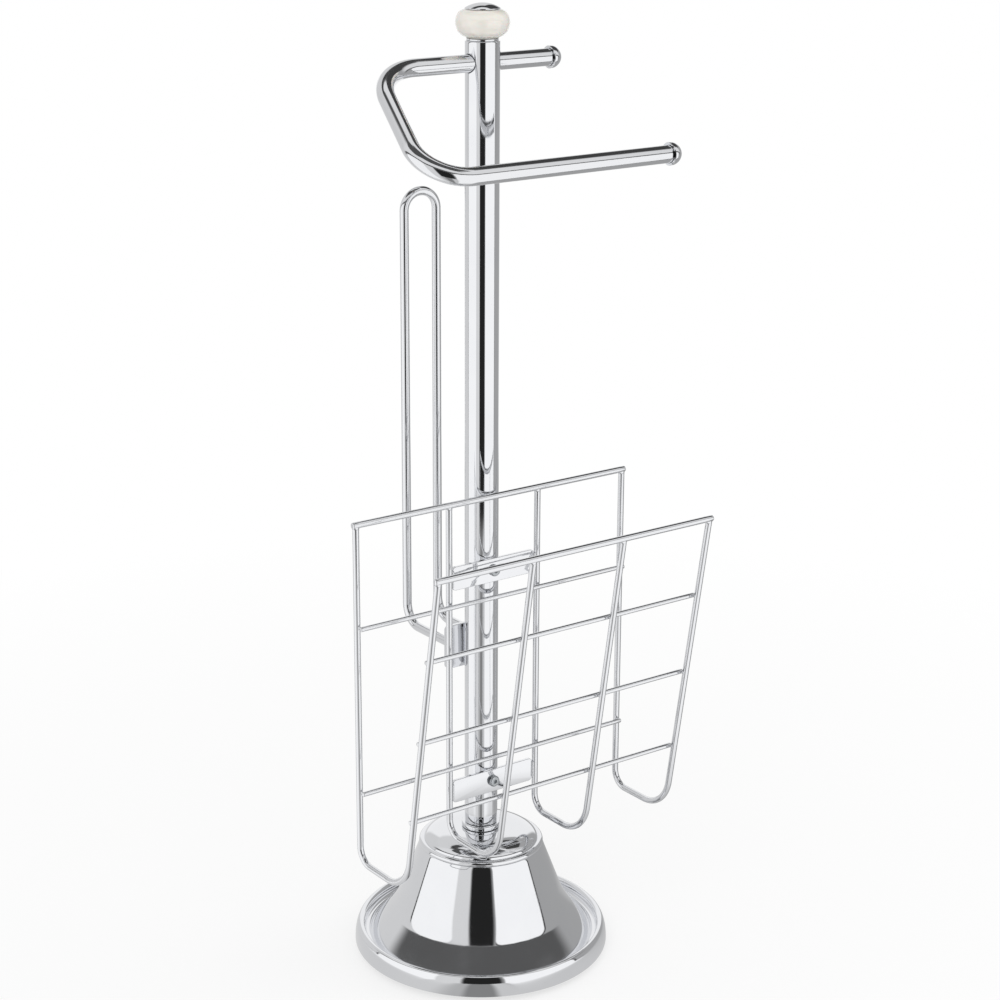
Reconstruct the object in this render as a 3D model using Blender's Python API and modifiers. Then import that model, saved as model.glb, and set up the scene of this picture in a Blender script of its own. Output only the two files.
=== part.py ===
"""Free-standing toilet roll holder: a ballasted bell base, a pole with a clamping ceramic knob,
a bent arm for the roll in use, a wire loop for spare rolls and a wire magazine rack.

Metres, +Z up. The origin is the centre of the pad's underside, on the floor. The pole stands on
the Z axis, the rack faces -Y and the spare roll loop stands behind the pole, at +Y.
"""

import math

import bpy
from mathutils import Quaternion, Vector

MM = 0.001

# Fits shared by every piece
SEAT_GAP = 0.3 * MM
CUT_OVERRUN = 2.0 * MM
SHELL_STEPS = 40
ROUND_STEPS = 28
SMALL_STEPS = 16
HEX_SIDES = 6
MERGE_DISTANCE = 0.001 * MM
QUARTER_TURN = math.pi / 2

# Pole
POLE_RADIUS = 11.0 * MM
POLE_WALL = 1.2 * MM
POLE_TOP = 611.0 * MM

# Base shell, a spun bell: dome, bead, cone, flared skirt, groove and turned-in rim
BASE_RADIUS = 85.9 * MM
SHELL_WALL = 1.2 * MM
LIP_HEIGHT = 4.4 * MM
LIP_RADIUS = 1.6 * MM
RIM_TOP_HEIGHT = 18.7 * MM
RIM_TOP_INSET = 3.9 * MM
RIM_INNER_RADIUS = 2.6 * MM
GROOVE_RADIUS = 2.5 * MM
GROOVE_HEIGHT = 11.2 * MM
SKIRT_SLOPE = math.radians(38)
FLARE_HEIGHT = 35.1 * MM
FLARE_BLEND = 9.0 * MM
SHOULDER_RADIUS = 41.9 * MM
SHOULDER_HEIGHT = 75.2 * MM
BEAD_RADIUS = 2.4 * MM
BEAD_FROM = math.radians(115)
BEAD_TO = math.radians(-40)
DOME_HEIGHT = 88.0 * MM
DOME_FULLNESS_SHARE = 0.9
DOME_STEPS = 4
BEAD_STEPS = 5
FLARE_STEPS = 4
GROOVE_STEPS = 5
RIM_INNER_STEPS = 3
RIM_OUTER_STEPS = 4
LIP_STEPS = 2

# Ballast, pad and tie bolt
PAD_THICKNESS = 3.5 * MM
PAD_INSET = 14.5 * MM
BALLAST_FLANGE_INSET = 4.8 * MM
BALLAST_FLANGE_TOP_DROP = 0.8 * MM
BALLAST_HUB_INSET = 7.0 * MM
BALLAST_HUB_HEIGHT = 45.0 * MM
BALLAST_BOSS_RADIUS = 14.0 * MM
BALLAST_CHAMFER = 1.5 * MM
TIE_BOLT_RADIUS = 4.0 * MM
TIE_BOLT_HEAD_FLATS = 13.0 * MM
TIE_BOLT_HEAD_HEIGHT = 5.3 * MM
TIE_BOLT_ENGAGEMENT = 20.0 * MM
TIE_WASHER_RADIUS = 9.0 * MM
TIE_WASHER_THICKNESS = 1.6 * MM

# Turned plugs that close the pole
FOOT_PLUG_LENGTH = 24.0 * MM
FOOT_FLANGE_HEIGHT = 3.0 * MM
FOOT_FLANGE_RADIUS = 13.0 * MM
TOP_PLUG_LENGTH = 29.0 * MM
TOP_FLANGE_HEIGHT = 1.2 * MM
TOP_FLANGE_INSET = 0.9 * MM
PLUG_CHAMFER = 0.6 * MM

# Roll arm, a bent rod through the pole
ARM_HEIGHT = 597.7 * MM
ARM_ROD_RADIUS = 5.5 * MM
ARM_DROOP = math.radians(29.4)
ARM_STUB_END = 52.5 * MM
ARM_SIDE_OFFSET = 78.8 * MM
ARM_SIDE_LEAN = math.radians(13.4)
ARM_REACH = 103.9 * MM
ARM_FREE_END = 75.4 * MM
ARM_UPPER_BEND = 36.6 * MM
ARM_LOWER_BEND = 24.8 * MM
ARM_BEND_STEPS = 9
END_CAP_RADIUS = 7.1 * MM
END_CAP_LIP = 1.2 * MM
END_CAP_SOCKET = 2.2 * MM
END_CAP_STEPS = 5

# Knob, washer, cap nut and clamping stud
KNOB_RADIUS = 16.5 * MM
KNOB_HEIGHT = 16.0 * MM
KNOB_FOOT_RADIUS = 12.3 * MM
KNOB_CROWN_RADIUS = 11.9 * MM
KNOB_EDGE = 2.5 * MM
KNOB_STEPS = 6
KNOB_WASHER_RADIUS = 10.2 * MM
KNOB_WASHER_THICKNESS = 0.6 * MM
STUD_RADIUS = 3.0 * MM
CAP_RADIUS = 11.1 * MM
CAP_RISE = 3.1 * MM
CAP_EDGE = 0.6 * MM
CAP_BOSS_RADIUS = 5.2 * MM
CAP_BOSS_DEPTH = 7.0 * MM
CAP_STEPS = 5

# Magazine rack
RACK_WIRE_COUNT = 4
RACK_WIRE_RADIUS = 2.1 * MM
RACK_WIRE_PITCH = 70.1 * MM
RACK_BAR_RADIUS = 1.6 * MM
RACK_BAR_COUNT = 3
RACK_BAR_PITCH_SHARE = 0.259
RACK_BACK_BARS = (1, 3)
RACK_FLOOR_HEIGHT = 96.0 * MM
RACK_FRONT_HEIGHT = 312.6 * MM
RACK_BACK_RISE = 11.2 * MM
RACK_FRONT_REACH = 102.8 * MM
RACK_FRONT_LEAN = math.radians(9.4)
RACK_FRONT_BEND = 26.0 * MM
RACK_BACK_BEND = 11.0 * MM
RACK_BEND_STEPS = 5
RACK_RAIL_OVERHANG = 2.6 * MM

# Rack brackets, flat strips between the two middle back wires
BRACKET_HEIGHT = 16.0 * MM
BRACKET_THICKNESS = 2.5 * MM
BRACKET_CORNER = 3.0 * MM
BRACKET_CORNER_STEPS = 3
UPPER_BRACKET_DROP = 50.0 * MM
LOWER_BRACKET_CLEARANCE = 2.0 * MM

# Spare roll loop and its bracket
LOOP_WIRE_RADIUS = 3.0 * MM
LOOP_LEG_SPACING = 25.0 * MM
LOOP_DISTANCE = 68.7 * MM
LOOP_RUN_HEIGHT = 216.0 * MM
LOOP_TOP = 512.4 * MM
LOOP_BEND = 14.0 * MM
LOOP_BEND_STEPS = 6
LOOP_BRACKET_HALF_WIDTH = 20.0 * MM
LOOP_BRACKET_HALF_HEIGHT = 15.0 * MM
LOOP_BRACKET_THICKNESS = 3.0 * MM
LOOP_SCREW_SPACING = 16.0 * MM

# Bracket screws and the threaded inserts in the pole
SCREW_RADIUS = 2.0 * MM
SCREW_HEAD_RADIUS = 3.8 * MM
SCREW_HEAD_HEIGHT = 2.4 * MM
SCREW_HEAD_ROUND = 0.8 * MM
SCREW_SOCKET_FLATS = 2.5 * MM
SCREW_SOCKET_DEPTH = 1.4 * MM
INSERT_SLEEVE_RADIUS = 3.1 * MM
INSERT_BULB_RADIUS = 4.4 * MM
INSERT_LENGTH = 5.0 * MM

# Finishes: colour, metallic, roughness
CHROME = ("bright_chrome", (0.72, 0.72, 0.73), 1.0, 0.06)
CERAMIC = ("glazed_ceramic", (0.80, 0.77, 0.73), 0.0, 0.12)
IRON = ("cast_iron", (0.10, 0.10, 0.11), 0.9, 0.65)
ZINC = ("zinc_plated_steel", (0.55, 0.57, 0.60), 1.0, 0.35)
EVA = ("black_foam_rubber", (0.02, 0.02, 0.02), 0.0, 0.9)
NYLON = ("white_nylon", (0.80, 0.80, 0.78), 0.0, 0.5)

# Places worked out from the sizes above
LOOP_LEG_X = LOOP_LEG_SPACING / 2
RIM_TOP_RADIUS = BASE_RADIUS - RIM_TOP_INSET
GROOVE_MIDDLE = RIM_TOP_RADIUS - RIM_INNER_RADIUS - GROOVE_RADIUS
SKIRT_FOOT_RADIUS = GROOVE_MIDDLE - GROOVE_RADIUS * math.cos(SKIRT_SLOPE)
SKIRT_FOOT_HEIGHT = GROOVE_HEIGHT + GROOVE_RADIUS * (1 - math.sin(SKIRT_SLOPE))
SKIRT_RISE = FLARE_HEIGHT - SKIRT_FOOT_HEIGHT
FLARE_RADIUS = SKIRT_FOOT_RADIUS - SKIRT_RISE * math.tan(SKIRT_SLOPE)
RACK_BACK_Y = -(POLE_RADIUS + SEAT_GAP + RACK_WIRE_RADIUS)
RACK_HALF_WIDTH = RACK_WIRE_PITCH * (RACK_WIRE_COUNT - 1) / 2
RACK_BAR_PITCH = RACK_BAR_PITCH_SHARE * (RACK_FRONT_HEIGHT - RACK_FLOOR_HEIGHT)
RACK_BACK_HEIGHT = RACK_FRONT_HEIGHT + RACK_BACK_RISE
SHELL_SEAT = DOME_HEIGHT - SHELL_WALL
POLE_FOOT = DOME_HEIGHT + FOOT_FLANGE_HEIGHT + 2 * SEAT_GAP
TOP_FLANGE_TOP = POLE_TOP + SEAT_GAP + TOP_FLANGE_HEIGHT
KNOB_WASHER_FOOT = TOP_FLANGE_TOP + SEAT_GAP
KNOB_FOOT = KNOB_WASHER_FOOT + KNOB_WASHER_THICKNESS + SEAT_GAP
CAP_SEAT = KNOB_HEIGHT + SEAT_GAP
UPPER_BRACKET_Z = RACK_BACK_HEIGHT - UPPER_BRACKET_DROP
FOOT_PLUG_TOP = POLE_FOOT - SEAT_GAP + FOOT_PLUG_LENGTH
LOWER_BRACKET_Z = FOOT_PLUG_TOP + LOWER_BRACKET_CLEARANCE + BRACKET_HEIGHT / 2
TIE_BOLT_TOP = POLE_FOOT + TIE_BOLT_ENGAGEMENT


def clear_scene():
    for obj in list(bpy.data.objects):
        bpy.data.objects.remove(obj)
    for collection in list(bpy.data.collections):
        bpy.data.collections.remove(collection)


def make_collection(name):
    collection = bpy.data.collections.new(name)
    bpy.context.scene.collection.children.link(collection)
    return collection


def finish_material(finish):
    name, colour, metallic, roughness = finish
    found = bpy.data.materials.get(name)
    if found:
        return found
    made = bpy.data.materials.new(name)
    made.use_nodes = True
    shader = made.node_tree.nodes["Principled BSDF"]
    shader.inputs["Base Color"].default_value = (*colour, 1.0)
    shader.inputs["Metallic"].default_value = metallic
    shader.inputs["Roughness"].default_value = roughness
    return made


def arc(centre, radius, start, end, steps):
    """Points on a circle in the profile plane, from one angle to another."""
    angles = [start + (end - start) * i / steps for i in range(steps + 1)]
    return [
        (centre[0] + radius * math.cos(a), centre[1] + radius * math.sin(a)) for a in angles
    ]


def curve_through(start, pull, end, steps):
    """A quadratic curve from start to end, drawn towards the pull point."""
    points = []
    for i in range(steps + 1):
        t = i / steps
        weights = ((1 - t) ** 2, 2 * t * (1 - t), t**2)
        points.append(
            tuple(sum(w * p[k] for w, p in zip(weights, (start, pull, end))) for k in (0, 1))
        )
    return points


def step_towards(start, end, distance):
    """The point at a distance from one profile point on the way to another."""
    share = distance / math.dist(start, end)
    return tuple(a + share * (b - a) for a, b in zip(start, end))


def rounded_path(corners, radii, steps):
    """The corners joined by straight runs, each inner corner rounded by its radius."""
    path = [Vector(corners[0])]
    for before, corner, after, radius in zip(corners, corners[1:], corners[2:], radii):
        corner = Vector(corner)
        back = (Vector(before) - corner).normalized()
        ahead = (Vector(after) - corner).normalized()
        half_angle = back.angle(ahead) / 2
        centre = corner + (back + ahead).normalized() * (radius / math.sin(half_angle))
        first = corner + back * (radius / math.tan(half_angle)) - centre
        last = corner + ahead * (radius / math.tan(half_angle)) - centre
        axis = first.cross(last).normalized()
        for i in range(steps + 1):
            turn = Quaternion(axis, first.angle(last) * i / steps)
            path.append(centre + turn @ first)
    path.append(Vector(corners[-1]))
    return path


def add_object(name, data, finish, collection, parent=None):
    obj = bpy.data.objects.new(name, data)
    data.materials.append(finish_material(finish))
    obj.parent = parent
    collection.objects.link(obj)
    return obj


def turned(name, outline, finish, collection, steps=ROUND_STEPS, closed=False, parent=None):
    """A profile of (radius, height) points, top to bottom on its outer side, turned about Z."""
    mesh = bpy.data.meshes.new(name)
    count = len(outline)
    edges = [(i, i + 1) for i in range(count - 1)]
    if closed:
        edges.append((count - 1, 0))
    mesh.from_pydata([(r, 0, z) for r, z in outline], edges, [])
    obj = add_object(name, mesh, finish, collection, parent)
    screw = obj.modifiers.new("Turn", "SCREW")
    screw.axis = "Z"
    screw.steps = steps
    screw.render_steps = steps
    screw.use_merge_vertices = True
    screw.merge_threshold = MERGE_DISTANCE
    screw.use_smooth_shade = True
    return obj


def wire(name, path, radius, finish, collection, side_resolution=2, parent=None):
    """A round wire or rod along a list of points, with closed ends."""
    curve = bpy.data.curves.new(name, "CURVE")
    curve.dimensions = "3D"
    curve.bevel_depth = radius
    curve.bevel_resolution = side_resolution
    curve.use_fill_caps = True
    spline = curve.splines.new("POLY")
    spline.points.add(len(path) - 1)
    for point, place in zip(spline.points, path):
        point.co = (*place, 1)
    return add_object(name, curve, finish, collection, parent)


def flat_plate(name, outlines, thickness, finish, collection):
    """A flat strip in the XZ plane, its first outline the edge and the others holes."""
    curve = bpy.data.curves.new(name, "CURVE")
    curve.dimensions = "2D"
    curve.fill_mode = "BOTH"
    curve.extrude = thickness / 2
    for outline in outlines:
        spline = curve.splines.new("POLY")
        spline.points.add(len(outline) - 1)
        for point, place in zip(spline.points, outline):
            point.co = (*place, 0, 1)
        spline.use_cyclic_u = True
    obj = add_object(name, curve, finish, collection)
    obj.rotation_euler.x = QUARTER_TURN
    return obj


def rounded_rectangle(half_width, half_height, corner, steps):
    outline = []
    for i, (sx, sy) in enumerate(((1, 1), (-1, 1), (-1, -1), (1, -1))):
        centre = (sx * (half_width - corner), sy * (half_height - corner))
        outline += arc(centre, corner, i * QUARTER_TURN, (i + 1) * QUARTER_TURN, steps)
    return outline


def circle_outline(centre, radius, steps):
    return arc(centre, radius, 0, 4 * QUARTER_TURN, steps)[:-1]


def prism_cutter(name, radius, length, place, direction, collection, sides=SMALL_STEPS, parent=None):
    """A cutter of round or hexagonal section, centred on a place and lying along a direction."""
    bpy.ops.mesh.primitive_cylinder_add(vertices=sides, radius=radius, depth=length)
    cutter = bpy.context.object
    cutter.name = name
    for old in list(cutter.users_collection):
        old.objects.unlink(cutter)
    collection.objects.link(cutter)
    cutter.parent = parent
    cutter.location = place
    cutter.rotation_mode = "QUATERNION"
    cutter.rotation_quaternion = Vector(direction).to_track_quat("Z", "Y")
    cutter.hide_render = True
    cutter.display_type = "WIRE"
    return cutter


def combine(obj, operation, *tools):
    """Cuts the tools out of the piece, or keeps only what lies inside them."""
    for tool in tools:
        boolean = obj.modifiers.new(tool.name, "BOOLEAN")
        boolean.operation = operation
        boolean.object = tool
        boolean.solver = "EXACT"


def cut(obj, *tools):
    combine(obj, "DIFFERENCE", *tools)


def empty_at(name, place, collection):
    empty = bpy.data.objects.new(name, None)
    empty.location = place
    empty.empty_display_size = POLE_RADIUS
    collection.objects.link(empty)
    return empty


def across_corners(flats):
    """The corner radius of a hexagon with this distance across its flats."""
    return flats / 2 / math.cos(math.pi / HEX_SIDES)


def shell_outline():
    """The bell's outer face, from the bolt hole over the dome and down to the rim's lip."""
    bead_centre = (SHOULDER_RADIUS - BEAD_RADIUS, SHOULDER_HEIGHT + BEAD_RADIUS)
    bead = arc(bead_centre, BEAD_RADIUS, BEAD_FROM, BEAD_TO, BEAD_STEPS)
    dome_edge = (BALLAST_BOSS_RADIUS, DOME_HEIGHT)
    dome_pull = (DOME_FULLNESS_SHARE * bead[0][0], DOME_HEIGHT)
    dome = curve_through(dome_edge, dome_pull, bead[0], DOME_STEPS)[:-1]

    shoulder = (SHOULDER_RADIUS, SHOULDER_HEIGHT)
    flare = (FLARE_RADIUS, FLARE_HEIGHT)
    skirt_foot = (SKIRT_FOOT_RADIUS, SKIRT_FOOT_HEIGHT)
    cone_end = step_towards(flare, shoulder, FLARE_BLEND)
    skirt_start = step_towards(flare, skirt_foot, FLARE_BLEND)
    side = [shoulder] + curve_through(cone_end, flare, skirt_start, FLARE_STEPS)

    groove_centre = (GROOVE_MIDDLE, GROOVE_HEIGHT + GROOVE_RADIUS)
    groove = arc(
        groove_centre, GROOVE_RADIUS, math.pi + SKIRT_SLOPE, 2 * math.pi, GROOVE_STEPS
    )
    rim_top = (RIM_TOP_RADIUS, RIM_TOP_HEIGHT)
    rim_centre = (RIM_TOP_RADIUS, RIM_TOP_HEIGHT - RIM_INNER_RADIUS)
    rim = arc(rim_centre, RIM_INNER_RADIUS, math.pi, QUARTER_TURN, RIM_INNER_STEPS)[:-1]
    rim_corner = (BASE_RADIUS, RIM_TOP_HEIGHT)
    widest = (BASE_RADIUS, LIP_HEIGHT + LIP_RADIUS)
    rim += curve_through(rim_top, rim_corner, widest, RIM_OUTER_STEPS)[:-1]
    lip_centre = (BASE_RADIUS - LIP_RADIUS, LIP_HEIGHT + LIP_RADIUS)
    lip = arc(lip_centre, LIP_RADIUS, 0, -QUARTER_TURN, LIP_STEPS)
    bolt_hole = (TIE_BOLT_RADIUS + SEAT_GAP, DOME_HEIGHT)
    return [bolt_hole] + dome + bead + side + groove + rim + lip


def build_base(parts, cutters):
    shell = turned("base_shell", shell_outline(), CHROME, parts, SHELL_STEPS)
    wall = shell.modifiers.new("Wall", "SOLIDIFY")
    wall.thickness = SHELL_WALL
    wall.offset = -1
    wall.use_even_offset = True

    pad_radius = BASE_RADIUS - PAD_INSET
    pad = [(0, PAD_THICKNESS), (pad_radius, PAD_THICKNESS), (pad_radius, 0), (0, 0)]
    turned("base_pad", pad, EVA, parts, SHELL_STEPS)

    floor = PAD_THICKNESS + SEAT_GAP
    flange_radius = GROOVE_MIDDLE - BALLAST_FLANGE_INSET
    flange_top = GROOVE_HEIGHT - SHELL_WALL - BALLAST_FLANGE_TOP_DROP
    hub_radius = FLARE_RADIUS - BALLAST_HUB_INSET
    boss_top = SHELL_SEAT - SEAT_GAP
    bore = TIE_BOLT_RADIUS + SEAT_GAP
    recess_radius = TIE_WASHER_RADIUS + SEAT_GAP
    recess_top = floor + TIE_BOLT_HEAD_HEIGHT + TIE_WASHER_THICKNESS + 2 * SEAT_GAP
    ballast = [
        (bore, boss_top),
        (BALLAST_BOSS_RADIUS - BALLAST_CHAMFER, boss_top),
        (BALLAST_BOSS_RADIUS, boss_top - BALLAST_CHAMFER),
        (BALLAST_BOSS_RADIUS, BALLAST_HUB_HEIGHT),
        (hub_radius - BALLAST_CHAMFER, BALLAST_HUB_HEIGHT),
        (hub_radius, BALLAST_HUB_HEIGHT - BALLAST_CHAMFER),
        (hub_radius, flange_top),
        (flange_radius, flange_top),
        (flange_radius, floor),
        (recess_radius, floor),
        (recess_radius, recess_top),
        (bore, recess_top),
    ]
    turned("base_ballast", ballast, IRON, parts, closed=True)

    washer_foot = recess_top - SEAT_GAP - TIE_WASHER_THICKNESS
    washer = [
        (bore, recess_top - SEAT_GAP),
        (TIE_WASHER_RADIUS, recess_top - SEAT_GAP),
        (TIE_WASHER_RADIUS, washer_foot),
        (bore, washer_foot),
    ]
    turned("tie_washer", washer, ZINC, parts, closed=True)

    head_top = washer_foot - SEAT_GAP
    head_foot = head_top - TIE_BOLT_HEAD_HEIGHT
    blank_radius = across_corners(TIE_BOLT_HEAD_FLATS) + CUT_OVERRUN
    bolt = turned(
        "tie_bolt",
        [
            (0, TIE_BOLT_TOP),
            (TIE_BOLT_RADIUS - PLUG_CHAMFER, TIE_BOLT_TOP),
            (TIE_BOLT_RADIUS, TIE_BOLT_TOP - PLUG_CHAMFER),
            (TIE_BOLT_RADIUS, head_top),
            (blank_radius, head_top),
            (blank_radius, head_foot),
            (0, head_foot),
        ],
        ZINC,
        parts,
        SMALL_STEPS,
    )
    hexagon = prism_cutter(
        "keep_bolt_hexagon",
        across_corners(TIE_BOLT_HEAD_FLATS),
        2 * (TIE_BOLT_TOP + CUT_OVERRUN),
        (0, 0, 0),
        (0, 0, 1),
        cutters,
        HEX_SIDES,
    )
    combine(bolt, "INTERSECT", hexagon)


def build_pole(parts, cutters):
    inner = POLE_RADIUS - POLE_WALL
    plug_radius = inner - SEAT_GAP
    tube = turned(
        "pole_tube",
        [(POLE_RADIUS, POLE_TOP), (POLE_RADIUS, POLE_FOOT), (inner, POLE_FOOT), (inner, POLE_TOP)],
        CHROME,
        parts,
        SHELL_STEPS,
        closed=True,
    )
    rod_bore = prism_cutter(
        "cut_rod_bore",
        ARM_ROD_RADIUS + SEAT_GAP,
        2 * (POLE_RADIUS + CUT_OVERRUN),
        (0, 0, ARM_HEIGHT),
        (1, 0, 0),
        cutters,
        ROUND_STEPS,
    )
    cut(tube, rod_bore)
    wall_middle = POLE_RADIUS - POLE_WALL / 2
    places = [(-wall_middle, UPPER_BRACKET_Z), (-wall_middle, LOWER_BRACKET_Z)]
    places += [(wall_middle, LOOP_RUN_HEIGHT + side * LOOP_SCREW_SPACING / 2) for side in (-1, 1)]
    for i, (y, z) in enumerate(places):
        hole = prism_cutter(
            f"cut_insert_{i + 1}",
            INSERT_SLEEVE_RADIUS + SEAT_GAP,
            POLE_WALL + 2 * CUT_OVERRUN,
            (0, y, z),
            (0, 1, 0),
            cutters,
        )
        cut(tube, hole)

    bolt_bore = TIE_BOLT_RADIUS + SEAT_GAP
    foot_flange_foot = DOME_HEIGHT + SEAT_GAP
    foot_flange_top = foot_flange_foot + FOOT_FLANGE_HEIGHT
    foot_plug = [
        (bolt_bore, FOOT_PLUG_TOP),
        (plug_radius - PLUG_CHAMFER, FOOT_PLUG_TOP),
        (plug_radius, FOOT_PLUG_TOP - PLUG_CHAMFER),
        (plug_radius, foot_flange_top),
        (FOOT_FLANGE_RADIUS - PLUG_CHAMFER, foot_flange_top),
        (FOOT_FLANGE_RADIUS, foot_flange_top - PLUG_CHAMFER),
        (FOOT_FLANGE_RADIUS, foot_flange_foot),
        (bolt_bore, foot_flange_foot),
    ]
    turned("pole_foot_plug", foot_plug, CHROME, parts, closed=True)

    stud_bore = STUD_RADIUS + SEAT_GAP
    top_flange_radius = POLE_RADIUS - TOP_FLANGE_INSET
    top_flange_foot = POLE_TOP + SEAT_GAP
    top_plug = [
        (stud_bore, TOP_FLANGE_TOP),
        (top_flange_radius - PLUG_CHAMFER, TOP_FLANGE_TOP),
        (top_flange_radius, TOP_FLANGE_TOP - PLUG_CHAMFER),
        (top_flange_radius, top_flange_foot),
        (plug_radius, top_flange_foot),
        (plug_radius, POLE_TOP - TOP_PLUG_LENGTH),
        (stud_bore, POLE_TOP - TOP_PLUG_LENGTH),
    ]
    plug = turned("pole_top_plug", top_plug, CHROME, parts, closed=True)
    cut(plug, rod_bore)


def build_arm(parts):
    """The bent rod and its end caps, drawn flat and tipped down about the pivot."""
    pivot = empty_at("arm_pivot", (0, 0, ARM_HEIGHT), parts)
    pivot.rotation_euler.x = ARM_DROOP
    lean_shift = ARM_REACH * math.tan(ARM_SIDE_LEAN)
    corners = [
        (ARM_STUB_END, 0, 0),
        (-ARM_SIDE_OFFSET, 0, 0),
        (-ARM_SIDE_OFFSET - lean_shift, -ARM_REACH, 0),
        (ARM_FREE_END, -ARM_REACH, 0),
    ]
    path = rounded_path(corners, (ARM_UPPER_BEND, ARM_LOWER_BEND), ARM_BEND_STEPS)
    wire("roll_arm", path, ARM_ROD_RADIUS, CHROME, parts, 4, pivot)

    socket = ARM_ROD_RADIUS + SEAT_GAP
    dome = arc((0, 0), END_CAP_RADIUS, QUARTER_TURN, 0, END_CAP_STEPS)
    floor = -END_CAP_LIP + END_CAP_SOCKET
    outline = dome + [
        (END_CAP_RADIUS, -END_CAP_LIP),
        (socket, -END_CAP_LIP),
        (socket, floor),
        (0, floor),
    ]
    places = {
        "arm_stub_cap": (ARM_STUB_END, 0),
        "arm_free_end_cap": (ARM_FREE_END, -ARM_REACH),
    }
    for name, (x, y) in places.items():
        cap = turned(name, outline, CHROME, parts, SMALL_STEPS, parent=pivot)
        cap.location = (x + SEAT_GAP - floor, y, 0)
        cap.rotation_euler.y = QUARTER_TURN


def build_knob(parts):
    """The ceramic knob on its stud, which presses on the arm's rod when it is screwed down."""
    axis = empty_at("knob_axis", (0, 0, KNOB_FOOT), parts)
    bore = STUD_RADIUS + SEAT_GAP
    boss_bore = CAP_BOSS_RADIUS + SEAT_GAP
    boss_floor = CAP_SEAT - CAP_BOSS_DEPTH

    washer_top = -SEAT_GAP
    washer_foot = washer_top - KNOB_WASHER_THICKNESS
    washer = [
        (bore, washer_top),
        (KNOB_WASHER_RADIUS, washer_top),
        (KNOB_WASHER_RADIUS, washer_foot),
        (bore, washer_foot),
    ]
    turned("knob_washer", washer, NYLON, parts, SMALL_STEPS, closed=True, parent=axis)

    crown = (KNOB_CROWN_RADIUS, KNOB_HEIGHT)
    crown_edge = (KNOB_CROWN_RADIUS + KNOB_EDGE, KNOB_HEIGHT - KNOB_EDGE / 2)
    foot = (KNOB_FOOT_RADIUS, 0)
    foot_edge = (KNOB_FOOT_RADIUS + KNOB_EDGE, KNOB_EDGE)
    belly = (2 * KNOB_RADIUS - (crown_edge[0] + foot_edge[0]) / 2, KNOB_HEIGHT / 2)
    side = curve_through(crown_edge, belly, foot_edge, KNOB_STEPS)
    body = [(boss_bore, KNOB_HEIGHT), crown] + side
    body += [foot, (bore, 0), (bore, boss_floor - SEAT_GAP), (boss_bore, boss_floor - SEAT_GAP)]
    turned("knob_body", body, CERAMIC, parts, ROUND_STEPS, closed=True, parent=axis)

    dome_radius = (CAP_RADIUS**2 + CAP_RISE**2) / (2 * CAP_RISE)
    dome_centre = (0, CAP_SEAT + CAP_EDGE + CAP_RISE - dome_radius)
    edge_angle = math.asin((dome_radius - CAP_RISE) / dome_radius)
    dome = arc(dome_centre, dome_radius, QUARTER_TURN, edge_angle, CAP_STEPS)
    stud_top = CAP_SEAT - SEAT_GAP
    cap = dome + [
        (CAP_RADIUS, CAP_SEAT),
        (CAP_BOSS_RADIUS, CAP_SEAT),
        (CAP_BOSS_RADIUS, boss_floor),
        (bore, boss_floor),
        (bore, stud_top + SEAT_GAP),
        (0, stud_top + SEAT_GAP),
    ]
    turned("knob_cap", cap, CHROME, parts, ROUND_STEPS, parent=axis)

    stud_foot = ARM_HEIGHT + ARM_ROD_RADIUS + SEAT_GAP - KNOB_FOOT
    stud = [
        (0, stud_top),
        (STUD_RADIUS, stud_top),
        (STUD_RADIUS, stud_foot + PLUG_CHAMFER),
        (STUD_RADIUS - PLUG_CHAMFER, stud_foot),
        (0, stud_foot),
    ]
    turned("knob_stud", stud, ZINC, parts, SMALL_STEPS, parent=axis)


def front_panel_place(height, inward=0.0):
    """The (y, z) place on the leaning front wires' line at a height, moved into the rack."""
    y = -RACK_FRONT_REACH + (RACK_FRONT_HEIGHT - height) * math.tan(RACK_FRONT_LEAN)
    return (
        y + inward * math.cos(RACK_FRONT_LEAN),
        height + inward * math.sin(RACK_FRONT_LEAN),
    )


def cross_wire(name, y, z, half_length, radius, parts):
    """A straight wire across the rack, along X."""
    wire(name, [(-half_length, y, z), (half_length, y, z)], radius, CHROME, parts)


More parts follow.
